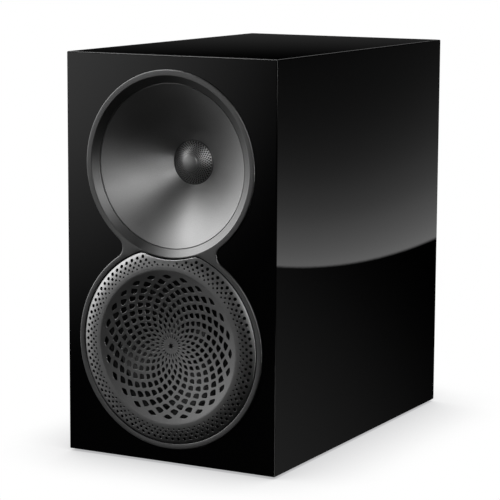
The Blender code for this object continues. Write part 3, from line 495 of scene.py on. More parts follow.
def make_looks():
    looks = {}

    lacquer = Look("piano_lacquer", (0.0035, 0.0035, 0.0038), 0.02)
    lacquer.set("IOR", 1.52)
    haze = lacquer.noise(14, 5)
    lacquer.vary("Roughness", haze, 0.004, 0.010)
    lacquer.bump(lacquer.noise(160, 2), 0.0000006)
    looks["lacquer"] = lacquer.material

    satin = Look("satin_back", (0.012, 0.012, 0.013), 0.42)
    satin.vary("Roughness", satin.noise(30, 4), 0.36, 0.48)
    satin.bump(satin.noise(900, 3), 0.00002)
    looks["satin_back"] = satin.material

    looks["mdf"] = grained(
        "fibreboard", (0.32, 0.20, 0.11), 0.85, 0.0, (700, 4, 0.7),
        (0.3, (0.22, 0.135, 0.072)), (0.7, (0.42, 0.28, 0.165)),
        relief=(1200, 3, 0.00006),
    )

    felt = Look("wool_felt", (0.62, 0.62, 0.58), 0.95)
    felt.tint(felt.noise(500, 6, 0.75), (0.3, (0.42, 0.42, 0.39)), (0.72, (0.72, 0.71, 0.67)))
    felt.set("Sheen Weight", 0.4)
    felt.bump(felt.noise(900, 6, 0.8, (1, 0.35, 1)), 0.0007)
    looks["felt"] = felt.material

    looks["rubber"] = grained(
        "black_rubber", (0.018, 0.018, 0.018), 0.7, 0.0, (220, 3),
        (0.3, grey(0.013)), (0.7, grey(0.024)),
        gloss=(90, 3, 0.58, 0.78), relief=(2500, 2, 0.00001),
    )

    looks["trim_metal"] = blasted("trim_metal", 0.32, 0.34)
    looks["lens_metal"] = blasted("lens_metal", 0.50, 0.36)
    looks["waveguide_metal"] = blasted("waveguide_metal", 0.50, 0.43, 0.000008)
    looks["grid_metal"] = blasted("grid_metal", 0.72, 0.38)

    silk = Look("coated_silk", (0.05, 0.05, 0.055), 0.6)
    weave = silk.math("MULTIPLY", silk.bands(0.0004, "X"), silk.bands(0.0004, "Z"))
    silk.tint(weave, (0.0, grey(0.03)), (0.8, grey(0.075)))
    silk.set("Sheen Weight", 0.3)
    silk.bump(weave, 0.00005)
    looks["silk"] = silk.material

    looks["copper"] = grained(
        "enamelled_copper", (0.72, 0.30, 0.13), 0.28, 1.0, (120, 3),
        (0.3, (0.55, 0.20, 0.08)), (0.7, (0.80, 0.38, 0.18)),
        gloss=(300, 2, 0.22, 0.36),
    )

    steel = Look("zinc_steel", grey(0.5), 0.35, 1.0)
    steel.tint(steel.cells(260), (0.1, grey(0.40)), (0.8, grey(0.60, -0.01)))
    steel.vary("Roughness", steel.noise(160, 4), 0.28, 0.46)
    steel.bump(steel.noise(1500, 3), 0.00001)
    looks["steel"] = steel.material

    looks["ferrite"] = grained(
        "sintered_ferrite", grey(0.05), 0.6, 0.0, (800, 5, 0.7),
        (0.35, grey(0.028)), (0.68, grey(0.085)),
        relief=(1100, 5, 0.75, 0.00008),
    )

    looks["black_plastic"] = grained(
        "moulded_black", grey(0.02), 0.45, 0.0, (60, 3),
        (0.3, grey(0.014)), (0.7, grey(0.026)),
        gloss=(500, 3, 0.38, 0.52), relief=(2200, 3, 0.000025),
    )

    for key, colour in (("red_plastic", (0.50, 0.012, 0.010)), ("cap_black", (0.014, 0.014, 0.015))):
        cap = Look(key, colour, 0.22)
        darker = tuple(channel * 0.75 for channel in colour)
        cap.tint(cap.noise(300, 3), (0.3, darker), (0.7, colour))
        cap.vary("Roughness", cap.noise(700, 3), 0.17, 0.30)
        cap.set("Coat Weight", 0.3)
        looks[key] = cap.material

    looks["screw_steel"] = grained(
        "black_oxide", grey(0.07), 0.38, 1.0, (1200, 3),
        (0.3, grey(0.045)), (0.7, grey(0.105)),
        gloss=(700, 3, 0.30, 0.48),
    )

    looks["cast_basket"] = grained(
        "cast_basket", grey(0.05), 0.5, 0.6, (300, 4),
        (0.3, grey(0.034)), (0.7, grey(0.07)),
        relief=(900, 5, 0.7, 0.00008),
    )

    cone = Look("woofer_cone", grey(0.07), 0.3, 0.85)
    cone.tint(cone.noise(260, 4), (0.3, grey(0.055)), (0.7, grey(0.085)))
    cone.vary("Roughness", cone.noise(500, 3), 0.26, 0.36)
    cone.bump(cone.rings(WOOFER, 0.0011), 0.000006)
    looks["cone_grey"] = cone.material

    spider = Look("spider_cloth", (0.50, 0.37, 0.13), 0.9)
    knit = spider.math("MULTIPLY", spider.bands(0.0009, "X"), spider.bands(0.0009, "Z"))
    spider.tint(knit, (0.1, (0.33, 0.23, 0.07)), (0.8, (0.60, 0.46, 0.18)))
    spider.bump(knit, 0.0002)
    looks["spider_cloth"] = spider.material

    looks["gold"] = grained(
        "gold_plate", (0.85, 0.58, 0.22), 0.2, 1.0, (500, 3),
        (0.3, (0.76, 0.49, 0.17)), (0.7, (0.90, 0.66, 0.30)),
        gloss=(800, 3, 0.15, 0.28),
    )

    looks["board_green"] = grained(
        "circuit_board", (0.03, 0.16, 0.07), 0.4, 0.0, (120, 1),
        (0.48, (0.015, 0.10, 0.04)), (0.52, (0.035, 0.20, 0.085)),
        relief=(120, 1, 0.00005),
    )

    film = Look("film_capacitor", (0.75, 0.52, 0.08), 0.3)
    film.tint(film.noise(90, 3), (0.3, (0.66, 0.44, 0.06)), (0.7, (0.80, 0.60, 0.12)))
    film.bump(film.bands(0.0022, "X"), 0.00004)
    looks["film_yellow"] = film.material

    looks["ceramic"] = grained(
        "ceramic_resistor", (0.72, 0.71, 0.67), 0.8, 0.0, (1200, 5, 0.7),
        (0.35, grey(0.52, 0.03)), (0.65, grey(0.76, 0.03)),
        relief=(900, 4, 0.0001),
    )

    looks["cable"] = grained(
        "cable_jacket", (0.25, 0.02, 0.02), 0.45, 0.0, (200, 3),
        (0.3, (0.19, 0.012, 0.012)), (0.7, (0.31, 0.03, 0.03)),
        relief=(900, 2, 0.00003),
    )
    return looks


LOOKS = make_looks()


# ---------------------------------------------------------------- cabinet

EDGE_RADIUS = 1.0
EDGE_STEPS = 4
WALL = 18.0
FRONT_WALL = 22.0
TRIM_GAP = 0.3


def bevelled_box(name, low, high, radius):
    """A mesh object of a box between two corners, in metres, with its edges rounded."""
    mesh = bpy.data.meshes.new(name)
    shape = bmesh.new()
    bmesh.ops.create_cube(shape, size=1)
    size = Vector(high) - Vector(low)
    bmesh.ops.scale(shape, vec=size, verts=shape.verts)
    bmesh.ops.translate(shape, vec=(Vector(high) + Vector(low)) / 2, verts=shape.verts)
    if radius:
        bmesh.ops.bevel(
            shape, geom=shape.edges[:], offset=radius, offset_type="OFFSET",
            segments=EDGE_STEPS, profile=0.5, affect="EDGES", clamp_overlap=True,
        )
    shape.to_mesh(mesh)
    shape.free()
    return link_object(name, mesh)


def prism(name, outline, place, bottom, top):
    """A mesh object that fills an outline of (x, z) between two heights."""
    shape = Shape(place)
    lower = shape.loop(outline, bottom)
    upper = shape.loop(outline, top)
    shape.strip(lower, upper)
    shape.faces.append(tuple(reversed(lower)))
    shape.faces.append(tuple(upper))
    mesh = bpy.data.meshes.new(name)
    mesh.from_pydata(shape.verts, [], shape.faces)
    face_outward(mesh)
    return link_object(name, mesh)


def carve(made, cutters):
    """Subtracts the cutters, removes them, and returns the finished mesh."""
    for cutter in cutters:
        boolean = made.modifiers.new("cut", "BOOLEAN")
        boolean.operation = "DIFFERENCE"
        boolean.solver = "EXACT"
        boolean.object = cutter
    bpy.context.view_layer.update()
    graph = bpy.context.evaluated_depsgraph_get()
    mesh = bpy.data.meshes.new_from_object(made.evaluated_get(graph))
    for old in (made, *cutters):
        bpy.data.objects.remove(old, do_unlink=True)
    return mesh


def weight_normals(made):
    """Flat faces keep flat shading right up to their rounded edges."""
    weighted = made.modifiers.new("normals", "WEIGHTED_NORMAL")
    weighted.weight = 100
    weighted.keep_sharp = True


def cabinet():
    shell = bevelled_box("shell_block", CABINET_LOW, CABINET_HIGH, EDGE_RADIUS * MM)
    inner_low = Vector(CABINET_LOW) + Vector((WALL, FRONT_WALL, WALL)) * MM
    inner_high = Vector(CABINET_HIGH) + Vector((-WALL, WALL, -WALL)) * MM
    hollow = bevelled_box("cut_hollow", inner_low, inner_high, 0)
    rebate = prism("cut_rebate", trim_outline(TRIM_GAP), on_front(WOOFER), -TRIM_SUNK - TRIM_GAP, 5)
    cutters = [hollow, rebate]
    for driver, wide, deep, narrow in ((TWEETER, 74.3, 7.3, 66.0), (WOOFER, 80.3, 12.3, 71.2)):
        cutters.append(prism("cut_well", circle(wide, 96), on_front(driver), -deep, 5))
        cutters.append(prism("cut_hole", circle(narrow, 96), on_front(driver), -FRONT_WALL - 5, 5))
    mesh = carve(shell, cutters)
    made = finish_piece("cabinet_body", mesh, LOOKS["lacquer"], "cabinet",
                        ["cabinet_shell"], 50)
    weight_normals(made)


def rear_panel():
    low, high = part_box("rear_panel")
    panel = bevelled_box("panel_block", low, high, 0.6 * MM)
    port_hole = prism("cut_port", circle(38.6, 96), on_back(PORT), -30, 5)
    cup_hole = prism("cut_cup", rounded_rectangle(42.3, 29.3, 3.0), on_back(CUP), -30, 5)
    mesh = carve(panel, [port_hole, cup_hole])
    made = finish_piece("back_panel", mesh, LOOKS["satin_back"], "cabinet",
                        ["rear_panel"], 50)
    weight_normals(made)


def feet():
    for node in ("foot_front_left", "foot_front_right", "foot_rear_left", "foot_rear_right"):
        low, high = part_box(node)
        radius = (high[0] - low[0]) / 2 / MM
        tall = (high[2] - low[2]) / MM
        profile = [(0, 0.12), (radius - 2.4, 0.12), (radius - 2.1, 0), (radius, 0),
                   (radius, tall), (0, tall)]
        profile = soften(profile, {3: 0.6, 4: 0.25})
        place = upright((low[0] + high[0]) / 2, (low[1] + high[1]) / 2, low[2])
        turned(node + "_pad", profile, place, LOOKS["rubber"], "cabinet", [node], 48)


# ---------------------------------------------------------------- front plate and lens

def trim_plate():
    """Figure-of-eight plate with a rounded edge, a bevelled tweeter mouth and the lens opening."""
    shape = Shape(on_front(WOOFER))
    edge = ((0.0, -TRIM_SUNK), (0.0, 0.25), (0.1, 0.62), (0.35, 0.95), (0.72, 1.14), (1.1, TRIM_PROUD))
    outer = [shape.loop(trim_outline(-inset), h) for inset, h in edge]
    bevel = ((69.3, -TRIM_SUNK), (69.5, -2.35), (74.9, 0.80), (75.2, 0.98), (75.5, 1.12),
             (75.8, TRIM_PROUD))
    mouth = []
    for radius, h in bevel:
        ring = [(x, z + APART) for x, z in circle(radius, 192)]
        mouth.append(shape.loop(ring, h))
    chamfer = ((LENS_EDGE_GAP, -TRIM_SUNK), (LENS_EDGE_GAP, 0.95), (LENS_EDGE_GAP + 0.34, TRIM_PROUD))
    opening = [shape.loop(lens_outline(grow), h) for grow, h in chamfer]
    for rows in (outer, mouth, opening):
        shape.skin(rows)
    shape.fill(outer[-1], [mouth[-1], opening[-1]])
    shape.fill(outer[0], [mouth[0], opening[0]], flip=True)
    made = shape.build("trim_ring", LOOKS["trim_metal"], "cabinet",
                       ["driver_trim_plate"], 40)
    weight_normals(made)


HOLES_AROUND = 24
LENS_RINGS = 13
DOTS_AROUND = 85
DOT_POINTS = 10
HOLE_SIDE = -0.25
EDGE_MARGIN = 0.12
EDGE_DROP = 0.08


def lens_ring(k):
    """(radius, angle offset) of a ring of holes."""
    radius = 8.5 + 4.75 * k - 0.042 * k * k
    offset = 4.5 if k == 0 else 9.6 + 8.7 * (k - 1)
    return radius, offset


def hole_outline(radius, angle, length, width, grow, flip, lean):
    """A kite about (radius, angle in degrees): blunt inward, straight sides to an outward tip."""
    across = (1, 0.8, 0.5, 0.2, 0, -0.2, -0.5, -0.8, -1)
    outer = [(v, HOLE_SIDE + (1 - HOLE_SIDE) * (1 - abs(v)) ** 0.95) for v in across]
    inner = [(-v, (1 + HOLE_SIDE) * abs(v) ** 1.8 - 1) for v in across[1:-1]]
    kite = outer + inner
    points = []
    for before, here, after in zip(kite[-1:] + kite, kite, kite[1:] + kite[:1]):
        v = before[0] / 4 + here[0] / 2 + after[0] / 4
        u = before[1] / 4 + here[1] / 2 + after[1] / 4
        if flip:
            u, v = -u, -v
        r = radius + u * (length / 2 + grow)
        phi = math.radians(angle + lean * u) + v * (width / 2 + grow) / r
        points.append((r * math.cos(phi), r * math.sin(phi)))
    return points


def woofer_holes():
    """(outline at the edge, outline round it) of each hole in the lens, in (x, z)."""
    holes = []
    for k in range(LENS_RINGS):
        radius, offset = lens_ring(k)
        pitch = radius * math.radians(360 / HOLES_AROUND)
        length = {0: 3.8, 1: 4.4, 2: 5.1, 12: 4.2}.get(k, 5.5)
        width = {0: 1.1, 1: 1.8, 2: 2.6}.get(k, pitch * 0.60)
        for index in range(HOLES_AROUND):
            angle = offset + 15 * index
            pair = [hole_outline(radius, angle, length, width, grow, k == LENS_RINGS - 1, 0.6)
                    for grow in (0, EDGE_MARGIN)]
            holes.append(pair)
    for row, (radius, dot) in enumerate(((69.8, 0.85), (72.2, 1.08), (75.2, 1.3), (78.6, 1.5))):
        for index in range(DOTS_AROUND):
            angle = TURN * (index + 0.5 * (row % 2)) / DOTS_AROUND
            x, z = radius * math.cos(angle), radius * math.sin(angle)
            if math.hypot(x, z - APART) - LENS_NOTCH_RADIUS < 3.0:
                continue
            pair = [[(x + px, z + pz) for px, pz in circle(dot + grow, DOT_POINTS)]
                    for grow in (0, EDGE_MARGIN * 0.8)]
            holes.append(pair)
    star = []
    for step in range(16):
        reach = 3.0 if step % 2 == 0 else 1.6
        angle = TURN * step / 16
        star.append((reach * math.cos(angle), reach * math.sin(angle)))
    around_star = [(x * 1.08, z * 1.08) for x, z in star]
    holes.append([star, around_star])
    return holes


def pierced_sheet(shape, outlines, holes, blank_rings, height, thickness, drop):
    """A closed sheet that follows height(radius): outlines are its edge loops from the rim
    inward, and each hole has an edge loop, let down by drop, and a loop round it."""
    def surface(points, below=0.0):
        return shape.loop(points, [height(math.hypot(x, z)) - below for x, z in points])

    rim = [surface(points, below) for points, below in outlines]
    shape.skin(rim)
    collars = []
    edges = []
    for inner, outer in holes:
        edge = surface(inner, drop)
        collar = surface(outer)
        shape.strip(edge, collar)
        edges.append(edge)
        collars.append(collar)
    blanks = [circle(radius, steps, 0.5 * (radius % 1)) for radius, steps in blank_rings]
    loose = [index for points in blanks for index in surface(points)]
    shape.fill(rim[-1], collars, loose)
    back_rim = surface(outlines[0][0], thickness)
    shape.strip(back_rim, rim[0])
    back_edges = []
    for (inner, _), edge in zip(holes, edges):
        back = surface(inner, thickness)
        shape.strip(back, edge)
        back_edges.append(back)
    back_loose = [index for points in blanks for index in surface(points, thickness)]
    shape.fill(back_rim, back_edges, back_loose, flip=True)


def woofer_lens():
    shape = Shape(on_front(WOOFER))
    edge = [(lens_outline(-LENS_EDGE_GAP), 0.7), (lens_outline(-LENS_EDGE_GAP - 0.12), 0.3),
            (lens_outline(-LENS_EDGE_GAP - 0.4), 0.08), (lens_outline(-LENS_EDGE_GAP - 0.8), 0.0)]
    blank = [(5.2, 24), (6.3, 30)] + [(62.4 + 0.7 * n, 160) for n in range(3)]
    blank += [(64.5 + 0.5 * n, 180) for n in range(9)]
    pierced_sheet(shape, edge, woofer_holes(), blank, lens_height, LENS_THICKNESS, EDGE_DROP)
    shape.build("woofer_grille", LOOKS["lens_metal"], "cabinet", ["woofer_lens"], 30)


# ---------------------------------------------------------------- tweeter

GRID_SPHERE = 30.0
GRID_RIM = 18.5
GRID_BASE = -40.4
GRID_DISC = 6.6


def grid_height(radius):
    """Domed grid in the throat, with a smooth raised disc in its middle."""
    rise = math.sqrt(GRID_SPHERE ** 2 - GRID_RIM ** 2)
    dome = GRID_BASE + math.sqrt(max(GRID_SPHERE ** 2 - radius ** 2, 0)) - rise
    raised = 0.45 * smoothstep((GRID_DISC + 0.25 - radius) / 0.5)
    return dome + raised


def tweeter_grid():
    shape = Shape(on_front(TWEETER))
    holes = []
    rows = 8
    around = 42
    for row in range(rows):
        t = row / (rows - 1)
        radius = 8.2 + 9.1 * t
        dot = 0.42 + 0.36 * t
        for index in range(around):
            angle = TURN * (index + 0.5 * (row % 2)) / around
            x, z = radius * math.cos(angle), radius * math.sin(angle)
            holes.append([[(x + px, z + pz) for px, pz in circle(dot + grow, 10, angle)]
                          for grow in (0, 0.03)])
    edge = [(circle(GRID_RIM, 96), 1.6), (circle(GRID_RIM, 96), 0.3), (circle(GRID_RIM - 0.3, 96), 0.0)]
    blank = [(2.0, 24), (4.0, 32), (5.3, 48), (6.1, 64)]
    blank += [(radius, 96) for radius in (6.35, 6.5, 6.65, 6.8, 7.0)]
    pierced_sheet(shape, edge, holes, blank, grid_height, 0.3, 0.02)
    shape.build("tweeter_grille", LOOKS["grid_metal"], "cabinet", ["tweeter_lens"], 30)


def waveguide():
    front = []
    steps = 40
    for step in range(steps + 1):
        radius = HORN_THROAT_RADIUS + (HORN_EDGE - HORN_THROAT_RADIUS) * step / steps
        front.append((radius, horn_height(radius)))
    profile = [
        (HORN_EDGE, -4.8), (69.9, -4.8), (69.9, -3.1), (74, -3.1), (74, -7), (65.4, -7),
        (65.4, horn_height(65.4) - 3.4), (50, horn_height(50) - 3.4), (36, horn_height(36) - 3.4),
        (36, -46), (21.6, -46), (21.6, -44.8), (HORN_THROAT_RADIUS, -44.8),
    ]
    turned("waveguide_horn", profile + front, on_front(TWEETER), LOOKS["waveguide_metal"],
           "cabinet", ["tweeter_waveguide"], 192, True, 30)


def cap_profile(edge, sphere, base, steps, skin):
    """Closed profile of a domed cap with the skin's thickness, from the axis outward and back."""
    half = math.degrees(math.asin(edge / sphere))
    centre = base - math.sqrt(sphere ** 2 - edge ** 2)
    over = arc(0, centre, sphere, 90, 90 - half, steps)
    inner_edge = edge - skin
    inner_half = math.degrees(math.asin(inner_edge / (sphere - skin)))
    inner_centre = base - math.sqrt((sphere - skin) ** 2 - inner_edge ** 2)
    under = arc(0, inner_centre, sphere - skin, 90 - inner_half, 90, steps)
    over[0] = (0, over[0][1])
    under[-1] = (0, under[-1][1])
    return over + under


def tweeter_moving():
    rise = 5.0
    edge = 14.0
    sphere = (edge ** 2 + rise ** 2) / (2 * rise)
    turned("silk_dome", cap_profile(edge, sphere, -45.9, 14, 0.5), on_front(TWEETER), LOOKS["silk"],
           "tweeter_moving", ["tweeter_dome"], 72)


# ---------------------------------------------------------------- woofer

def woofer_cone():
    rim, neck, skin = (54.4, -8.9), (17.9, -31.0), 1.2
    steps = 24
    over = []
    for step in range(steps + 1):
        t = step / steps
        radius = rim[0] + (neck[0] - rim[0]) * t
        over.append((radius, rim[1] + (neck[1] - rim[1]) * t ** 0.85))
    under = [(r, h - skin) for r, h in reversed(over)]
    turned("woofer_cone_body", over + under, on_front(WOOFER), LOOKS["cone_grey"],
           "woofer_moving", ["woofer_cone"], 144, True, 40)
    turned("woofer_cap", cap_profile(22, 36, -25.4, 16, 1.0), on_front(WOOFER), LOOKS["cone_grey"],
           "woofer_moving", ["woofer_dust_cap"], 96)


def woofer_surround():
    """Half-roll with an outer lip on the basket and an inner leg at the cone's edge."""
    base, skin = -7.4, 0.8
    centre, radius = 60.4, 5.6
    over = arc(centre, base, radius, 180, 0, 24)
    under = arc(centre, base, radius - skin, 0, 180, 24)
    profile = [(54.8, -10.3)] + over + [(71, base), (71, base - skin), (66, base - skin)]
    profile += under[2:] + [(55.6, -10.3)]
    made = turned("surround_roll", profile, on_front(WOOFER), LOOKS["rubber"], None,
                  ["woofer_surround"], 144, True, 40)
    fixed = on_front(WOOFER)(0, 0, base - skin - 0.1)
    moved = on_front(WOOFER)(0, 0, -10.2)
    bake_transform(made)


# ---------------------------------------------------------------- rear fittings

def port():
    """Tube flared at both ends, with a rounded flange on the rear panel."""
    mouth = arc(36, 2.4 - 13, 13, 90, 180, 20)
    tail = arc(33, -102, 10, 180, 250, 14)
    profile = [(42, 2.2), (42, 0.3), (38, 0.3), (38, -15), (26, -15), (26, -102),
               (tail[-1][0] + 2, tail[-1][1])]
    profile += list(reversed(tail)) + list(reversed(mouth))
    profile += [(36.8, 2.75), (37.6, 3.0), (41, 3.0), (41.7, 2.8)]
    turned("reflex_port", profile, on_back(PORT), LOOKS["black_plastic"], "cabinet",
           ["port_tube"], 144, True, 32)


def cup():
    """Dish with rounded corners, let into the rear panel."""
    shape = Shape(on_back(CUP))
    sections = (
        (42, 29, 3.0, -27.0), (42, 29, 3.0, 0.3), (52, 39, 7.0, 0.3), (52, 39, 7.0, 2.0),
        (51.7, 38.7, 6.8, 2.6), (51.2, 38.2, 6.4, 2.95), (50.6, 37.6, 6.0, 3.0),
        (40.2, 27.2, 4.4, 3.0), (39.5, 26.5, 4.0, 2.8), (39.1, 26.1, 3.8, 2.2),
        (38.2, 25.2, 3.4, -21.5),
        (37.8, 24.8, 3.2, -23.0), (36.6, 23.6, 2.8, -23.8), (35.0, 22.0, 2.4, -24.0),
    )
    rows = [shape.loop(rounded_rectangle(w, t, r), h) for w, t, r, h in sections]
    shape.skin(rows)
    floor_holes, back_holes = [], []
    for side in (-19, 19):
        ring = [(x + side, z) for x, z in circle(3.3, 24)]
        floor_holes.append(shape.loop(ring, -24.0))
        back_holes.append(shape.loop(ring, -27.0))
        shape.strip(floor_holes[-1], back_holes[-1])
    shape.fill(rows[-1], floor_holes)
    shape.fill(rows[0], back_holes, flip=True)
    made = shape.build("terminal_dish", LOOKS["black_plastic"], "cabinet",
                       ["terminal_cup"], 40)
    weight_normals(made)


def pan_head_screw(name, node, place, top, shank_end, shank, head):
    """Screw with a domed head and a cross recess, its head's top at that height."""
    shape = Shape(place)
    profile = [(0, shank_end), (shank, shank_end + 1), (shank, top - 1.3), (head, top - 1.3),
               (head * 0.95, top - 0.6), (head * 0.73, top - 0.1), (1.7, top)]
    rows = spin(shape, soften(profile, {3: 0.15, 4: 0.4}), 32, False)
    recess = []
    for h, reach in ((top, 1.0), (top - 0.9, 0.72)):
        cross = []
        for quarter in range(4):
            for across, along in ((0.28, 0.28), (0.28, 1.25), (-0.28, 1.25)):
                angle = quarter * TURN / 4
                x = across * reach * math.cos(angle) - along * reach * math.sin(angle)
                z = across * reach * math.sin(angle) + along * reach * math.cos(angle)
                cross.append((x, z))
        recess.append(shape.loop(cross, h))
    shape.strip(recess[0], recess[1])
    shape.fill(recess[1])
    shape.fill(rows[-1], [recess[0]])
    shape.build(name, LOOKS["screw_steel"], "cabinet", [node], 30)


def fitted_screws():
    """Screws in the dish's flange, and those that hold the waveguide, sunk out of sight."""
    for index in range(1, 5):
        dish, horn = f"cup_screw_{index}", f"tweeter_screw_{index}"
        pan_head_screw(f"dish_screw_{index}", dish, on_back(centre_of(dish)), 4.6, -12, 1.3, 3.0)
        pan_head_screw(f"horn_screw_{index}", horn, on_front(centre_of(horn)), -5.0, -18.9, 1.6, 2.6)


def binding_posts():
    """Fluted caps with a dished end, plain washers, and threaded studs with hexagon collars."""
    for side, name, look, slot in ((-19, "black", "cap_black", "black_plastic"),
                                   (19, "red", "red_plastic", "red_plastic")):
        place = on_back(CUP + Vector((side * MM, 0, 0)))
        cap = Shape(place)
        rows = []
        profile = ((2.7, -19.2, 0), (5.7, -19.2, 0), (6.15, -18.9, 0.2), (6.4, -18.3, 1),
                   (6.4, -9.4, 1), (6.3, -8.8, 0.7), (5.9, -8.3, 0.3), (5.5, -7.95, 0), (5.1, -7.8, 0), (4.7, -7.9, 0),
                   (4.2, -8.15, 0))
        flutes = 18
        steps = flutes * 8
        for radius, h, depth in profile:
            ring = []
            for step in range(steps):
                angle = TURN * step / steps
                groove = max(0, math.cos(flutes * angle)) ** 1.5 * 0.55 * depth
                ring.append(((radius - groove) * math.cos(angle), (radius - groove) * math.sin(angle)))
            rows.append(cap.loop(ring, h))
        cap.skin(rows)
        cap.strip(rows[-1], cap.loop([(0, 0)], -8.3))
        bore = cap.loop(circle(2.7, steps), -10.3)
        cap.strip(bore, rows[0])
        cap.strip(bore, cap.loop([(0, 0)], -10.3))
        cap.build(f"post_grip_{name}", LOOKS[look], f"cap_{name}", [f"post_cap_{name}"], 35)
        section = [(2.7, -19.5), (6.0, -19.5), (6.0, -20.7), (2.7, -20.7)]
        washer = soften(section, {1: 0.25, 2: 0.25}, True)
        turned(f"post_disc_{name}", washer, place, LOOKS["gold"], f"washer_{name}",
               [f"post_washer_{name}"], 48, True)
        stud(place, name)


def stud(place, name):
    """Threaded stud: ridges on the shank, a hexagon collar in the dish and a solder tail."""
    shape = Shape(place)
    steps = 36
    rows = [shape.loop([(0, 0)], -10.6)]
    rows.append(shape.loop(circle(1.9, steps), -10.6))
    pitch = 0.7
    h = -11.0
    while h > -20.4:
        rows.append(shape.loop(circle(2.4, steps), h))
        rows.append(shape.loop(circle(2.05, steps), h - pitch / 2))
        h -= pitch
    rows.append(shape.loop(circle(2.3, steps), -21.0))
    flats = []
    for step in range(steps):
        angle = TURN * step / steps
        folded = (angle + TURN / 12) % (TURN / 6) - TURN / 12
        reach = 6.05 / math.cos(folded)
        flats.append((reach * math.cos(angle), reach * math.sin(angle)))
    rows.append(shape.loop([(x * 0.95, z * 0.95) for x, z in flats], -21.0))
    rows.append(shape.loop(flats, -21.25))
    rows.append(shape.loop(flats, -23.7))
    rows.append(shape.loop(circle(2.9, steps), -23.7))
    rows.append(shape.loop(circle(2.9, steps), -38.6))
    rows.append(shape.loop(circle(2.5, steps), -39.0))
    rows.append(shape.loop([(0, 0)], -39.0))
    shape.skin(rows)
    shape.build(f"post_shank_{name}", LOOKS["gold"], "cabinet", [f"post_stud_{name}"], 30)


# ---------------------------------------------------------------- CAD nodes that keep their shape

NODE_LOOKS = {
    "mdf": ("window_brace",),
    "felt": ("damping_pad_left", "damping_pad_right"),
    "silk": ("tweeter_surround",),
    "copper": ("tweeter_voice_coil", "woofer_voice_coil", "inductor_woofer", "inductor_tweeter"),
    "steel": ("tweeter_top_plate", "tweeter_pole_plate", "woofer_top_plate", "woofer_pole_yoke"),
    "ferrite": ("tweeter_magnet", "woofer_magnet"),
    "black_plastic": ("tweeter_rear_chamber", "woofer_lens_spacer"),
    "screw_steel": tuple(f"woofer_screw_{n}" for n in range(1, 5)),
    "cast_basket": ("woofer_basket",),
    "cone_grey": ("woofer_coil_former",),
    "spider_cloth": ("woofer_spider",),
    "board_green": ("crossover_board",),
    "film_yellow": ("capacitor_woofer", "capacitor_tweeter"),
    "ceramic": ("crossover_resistor",),
    "cable": ("input_cable", "woofer_cable", "tweeter_cable"),
}


def dress_nodes():
    for look, nodes in NODE_LOOKS.items():
        for node in nodes:
            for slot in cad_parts[node].material_slots:
                slot.material = LOOKS[look]


# ---------------------------------------------------------------- studio

class Sky:
    """World light by direction, built from soft panels and discs of light."""

    def __init__(self):
        self.world = bpy.data.worlds.new("studio")
        bpy.context.scene.world = self.world
        self.world.use_nodes = True
        self.tree = self.world.node_tree
        self.tree.nodes.clear()
        way = self.tree.nodes.new("ShaderNodeTexCoord").outputs["Generated"]
        self.way = way
        split = self.tree.nodes.new("ShaderNodeSeparateXYZ")
        self.tree.links.new(way, split.inputs[0])
        x, y, z = split.outputs
        to_left = self.math("MULTIPLY", x, -1)
        to_front = self.math("MULTIPLY", y, -1)
        self.azimuth = self.math("DEGREES", self.math("ARCTAN2", to_left, to_front))
        self.elevation = self.math("DEGREES", self.math("ARCSINE", z))
        self.total = None

    def math(self, operation, *values):
        return math_node(self.tree, operation, *values)

    def ramp(self, value, zero, one, smooth=True):
        """0 at zero and 1 at one."""
        made = self.tree.nodes.new("ShaderNodeMapRange")
        made.interpolation_type = "SMOOTHSTEP" if smooth else "LINEAR"
        made.inputs["From Min"].default_value = min(zero, one)
        made.inputs["From Max"].default_value = max(zero, one)
        made.inputs["To Min"].default_value = 0.0 if zero < one else 1.0
        made.inputs["To Max"].default_value = 1.0 if zero < one else 0.0
        self.tree.links.new(value, made.inputs["Value"])
        return made.outputs["Result"]

    def add(self, light):
        self.total = light if self.total is None else self.math("ADD", self.total, light)

    def panel(self, strength, left, right, bottom, top, soft_side, soft_bottom, soft_top):
        """A panel from azimuth right to left of the front, in degrees, with soft edges."""
        light = self.math("MULTIPLY", self.ramp(self.azimuth, right - soft_side, right + soft_side),
                          self.ramp(self.azimuth, left + soft_side, left - soft_side))
        light = self.math("MULTIPLY", light,
                          self.ramp(self.elevation, bottom - soft_bottom, bottom + soft_bottom))
        light = self.math("MULTIPLY", light, self.ramp(self.elevation, top + soft_top, top - soft_top))
        self.add(self.math("MULTIPLY", light, strength))

    def angle_to(self, centre):
        """Degrees between each direction and the centre."""
        dot = self.tree.nodes.new("ShaderNodeVectorMath")
        dot.operation = "DOT_PRODUCT"
        self.tree.links.new(self.way, dot.inputs[0])
        dot.inputs[1].default_value = Vector(centre).normalized()
        bounded = self.math("MINIMUM", dot.outputs["Value"], 1.0)
        return self.math("DEGREES", self.math("ARCCOSINE", bounded))

    def glow(self, strength, centre, full, reach):
        self.add(self.math("MULTIPLY", self.ramp(self.angle_to(centre), reach, full), strength))

    def curve(self, value, *points):
        """Piecewise linear number: (value, result) points in rising order of value."""
        low, high = points[0][0], points[-1][0]
        made = self.tree.nodes.new("ShaderNodeFloatCurve")
        line = made.mapping.curves[0]
        made.mapping.extend = "HORIZONTAL"
        top = max(result for _, result in points)
        for index, (at, result) in enumerate(points):
            place = ((at - low) / (high - low), result / top)
            if index < 2:
                line.points[index].location = place
            else:
                line.points.new(*place)
        made.mapping.update()
        share = self.ramp(value, low, high, smooth=False)
        self.tree.links.new(share, made.inputs["Value"])
        return self.math("MULTIPLY", made.outputs[0], top)


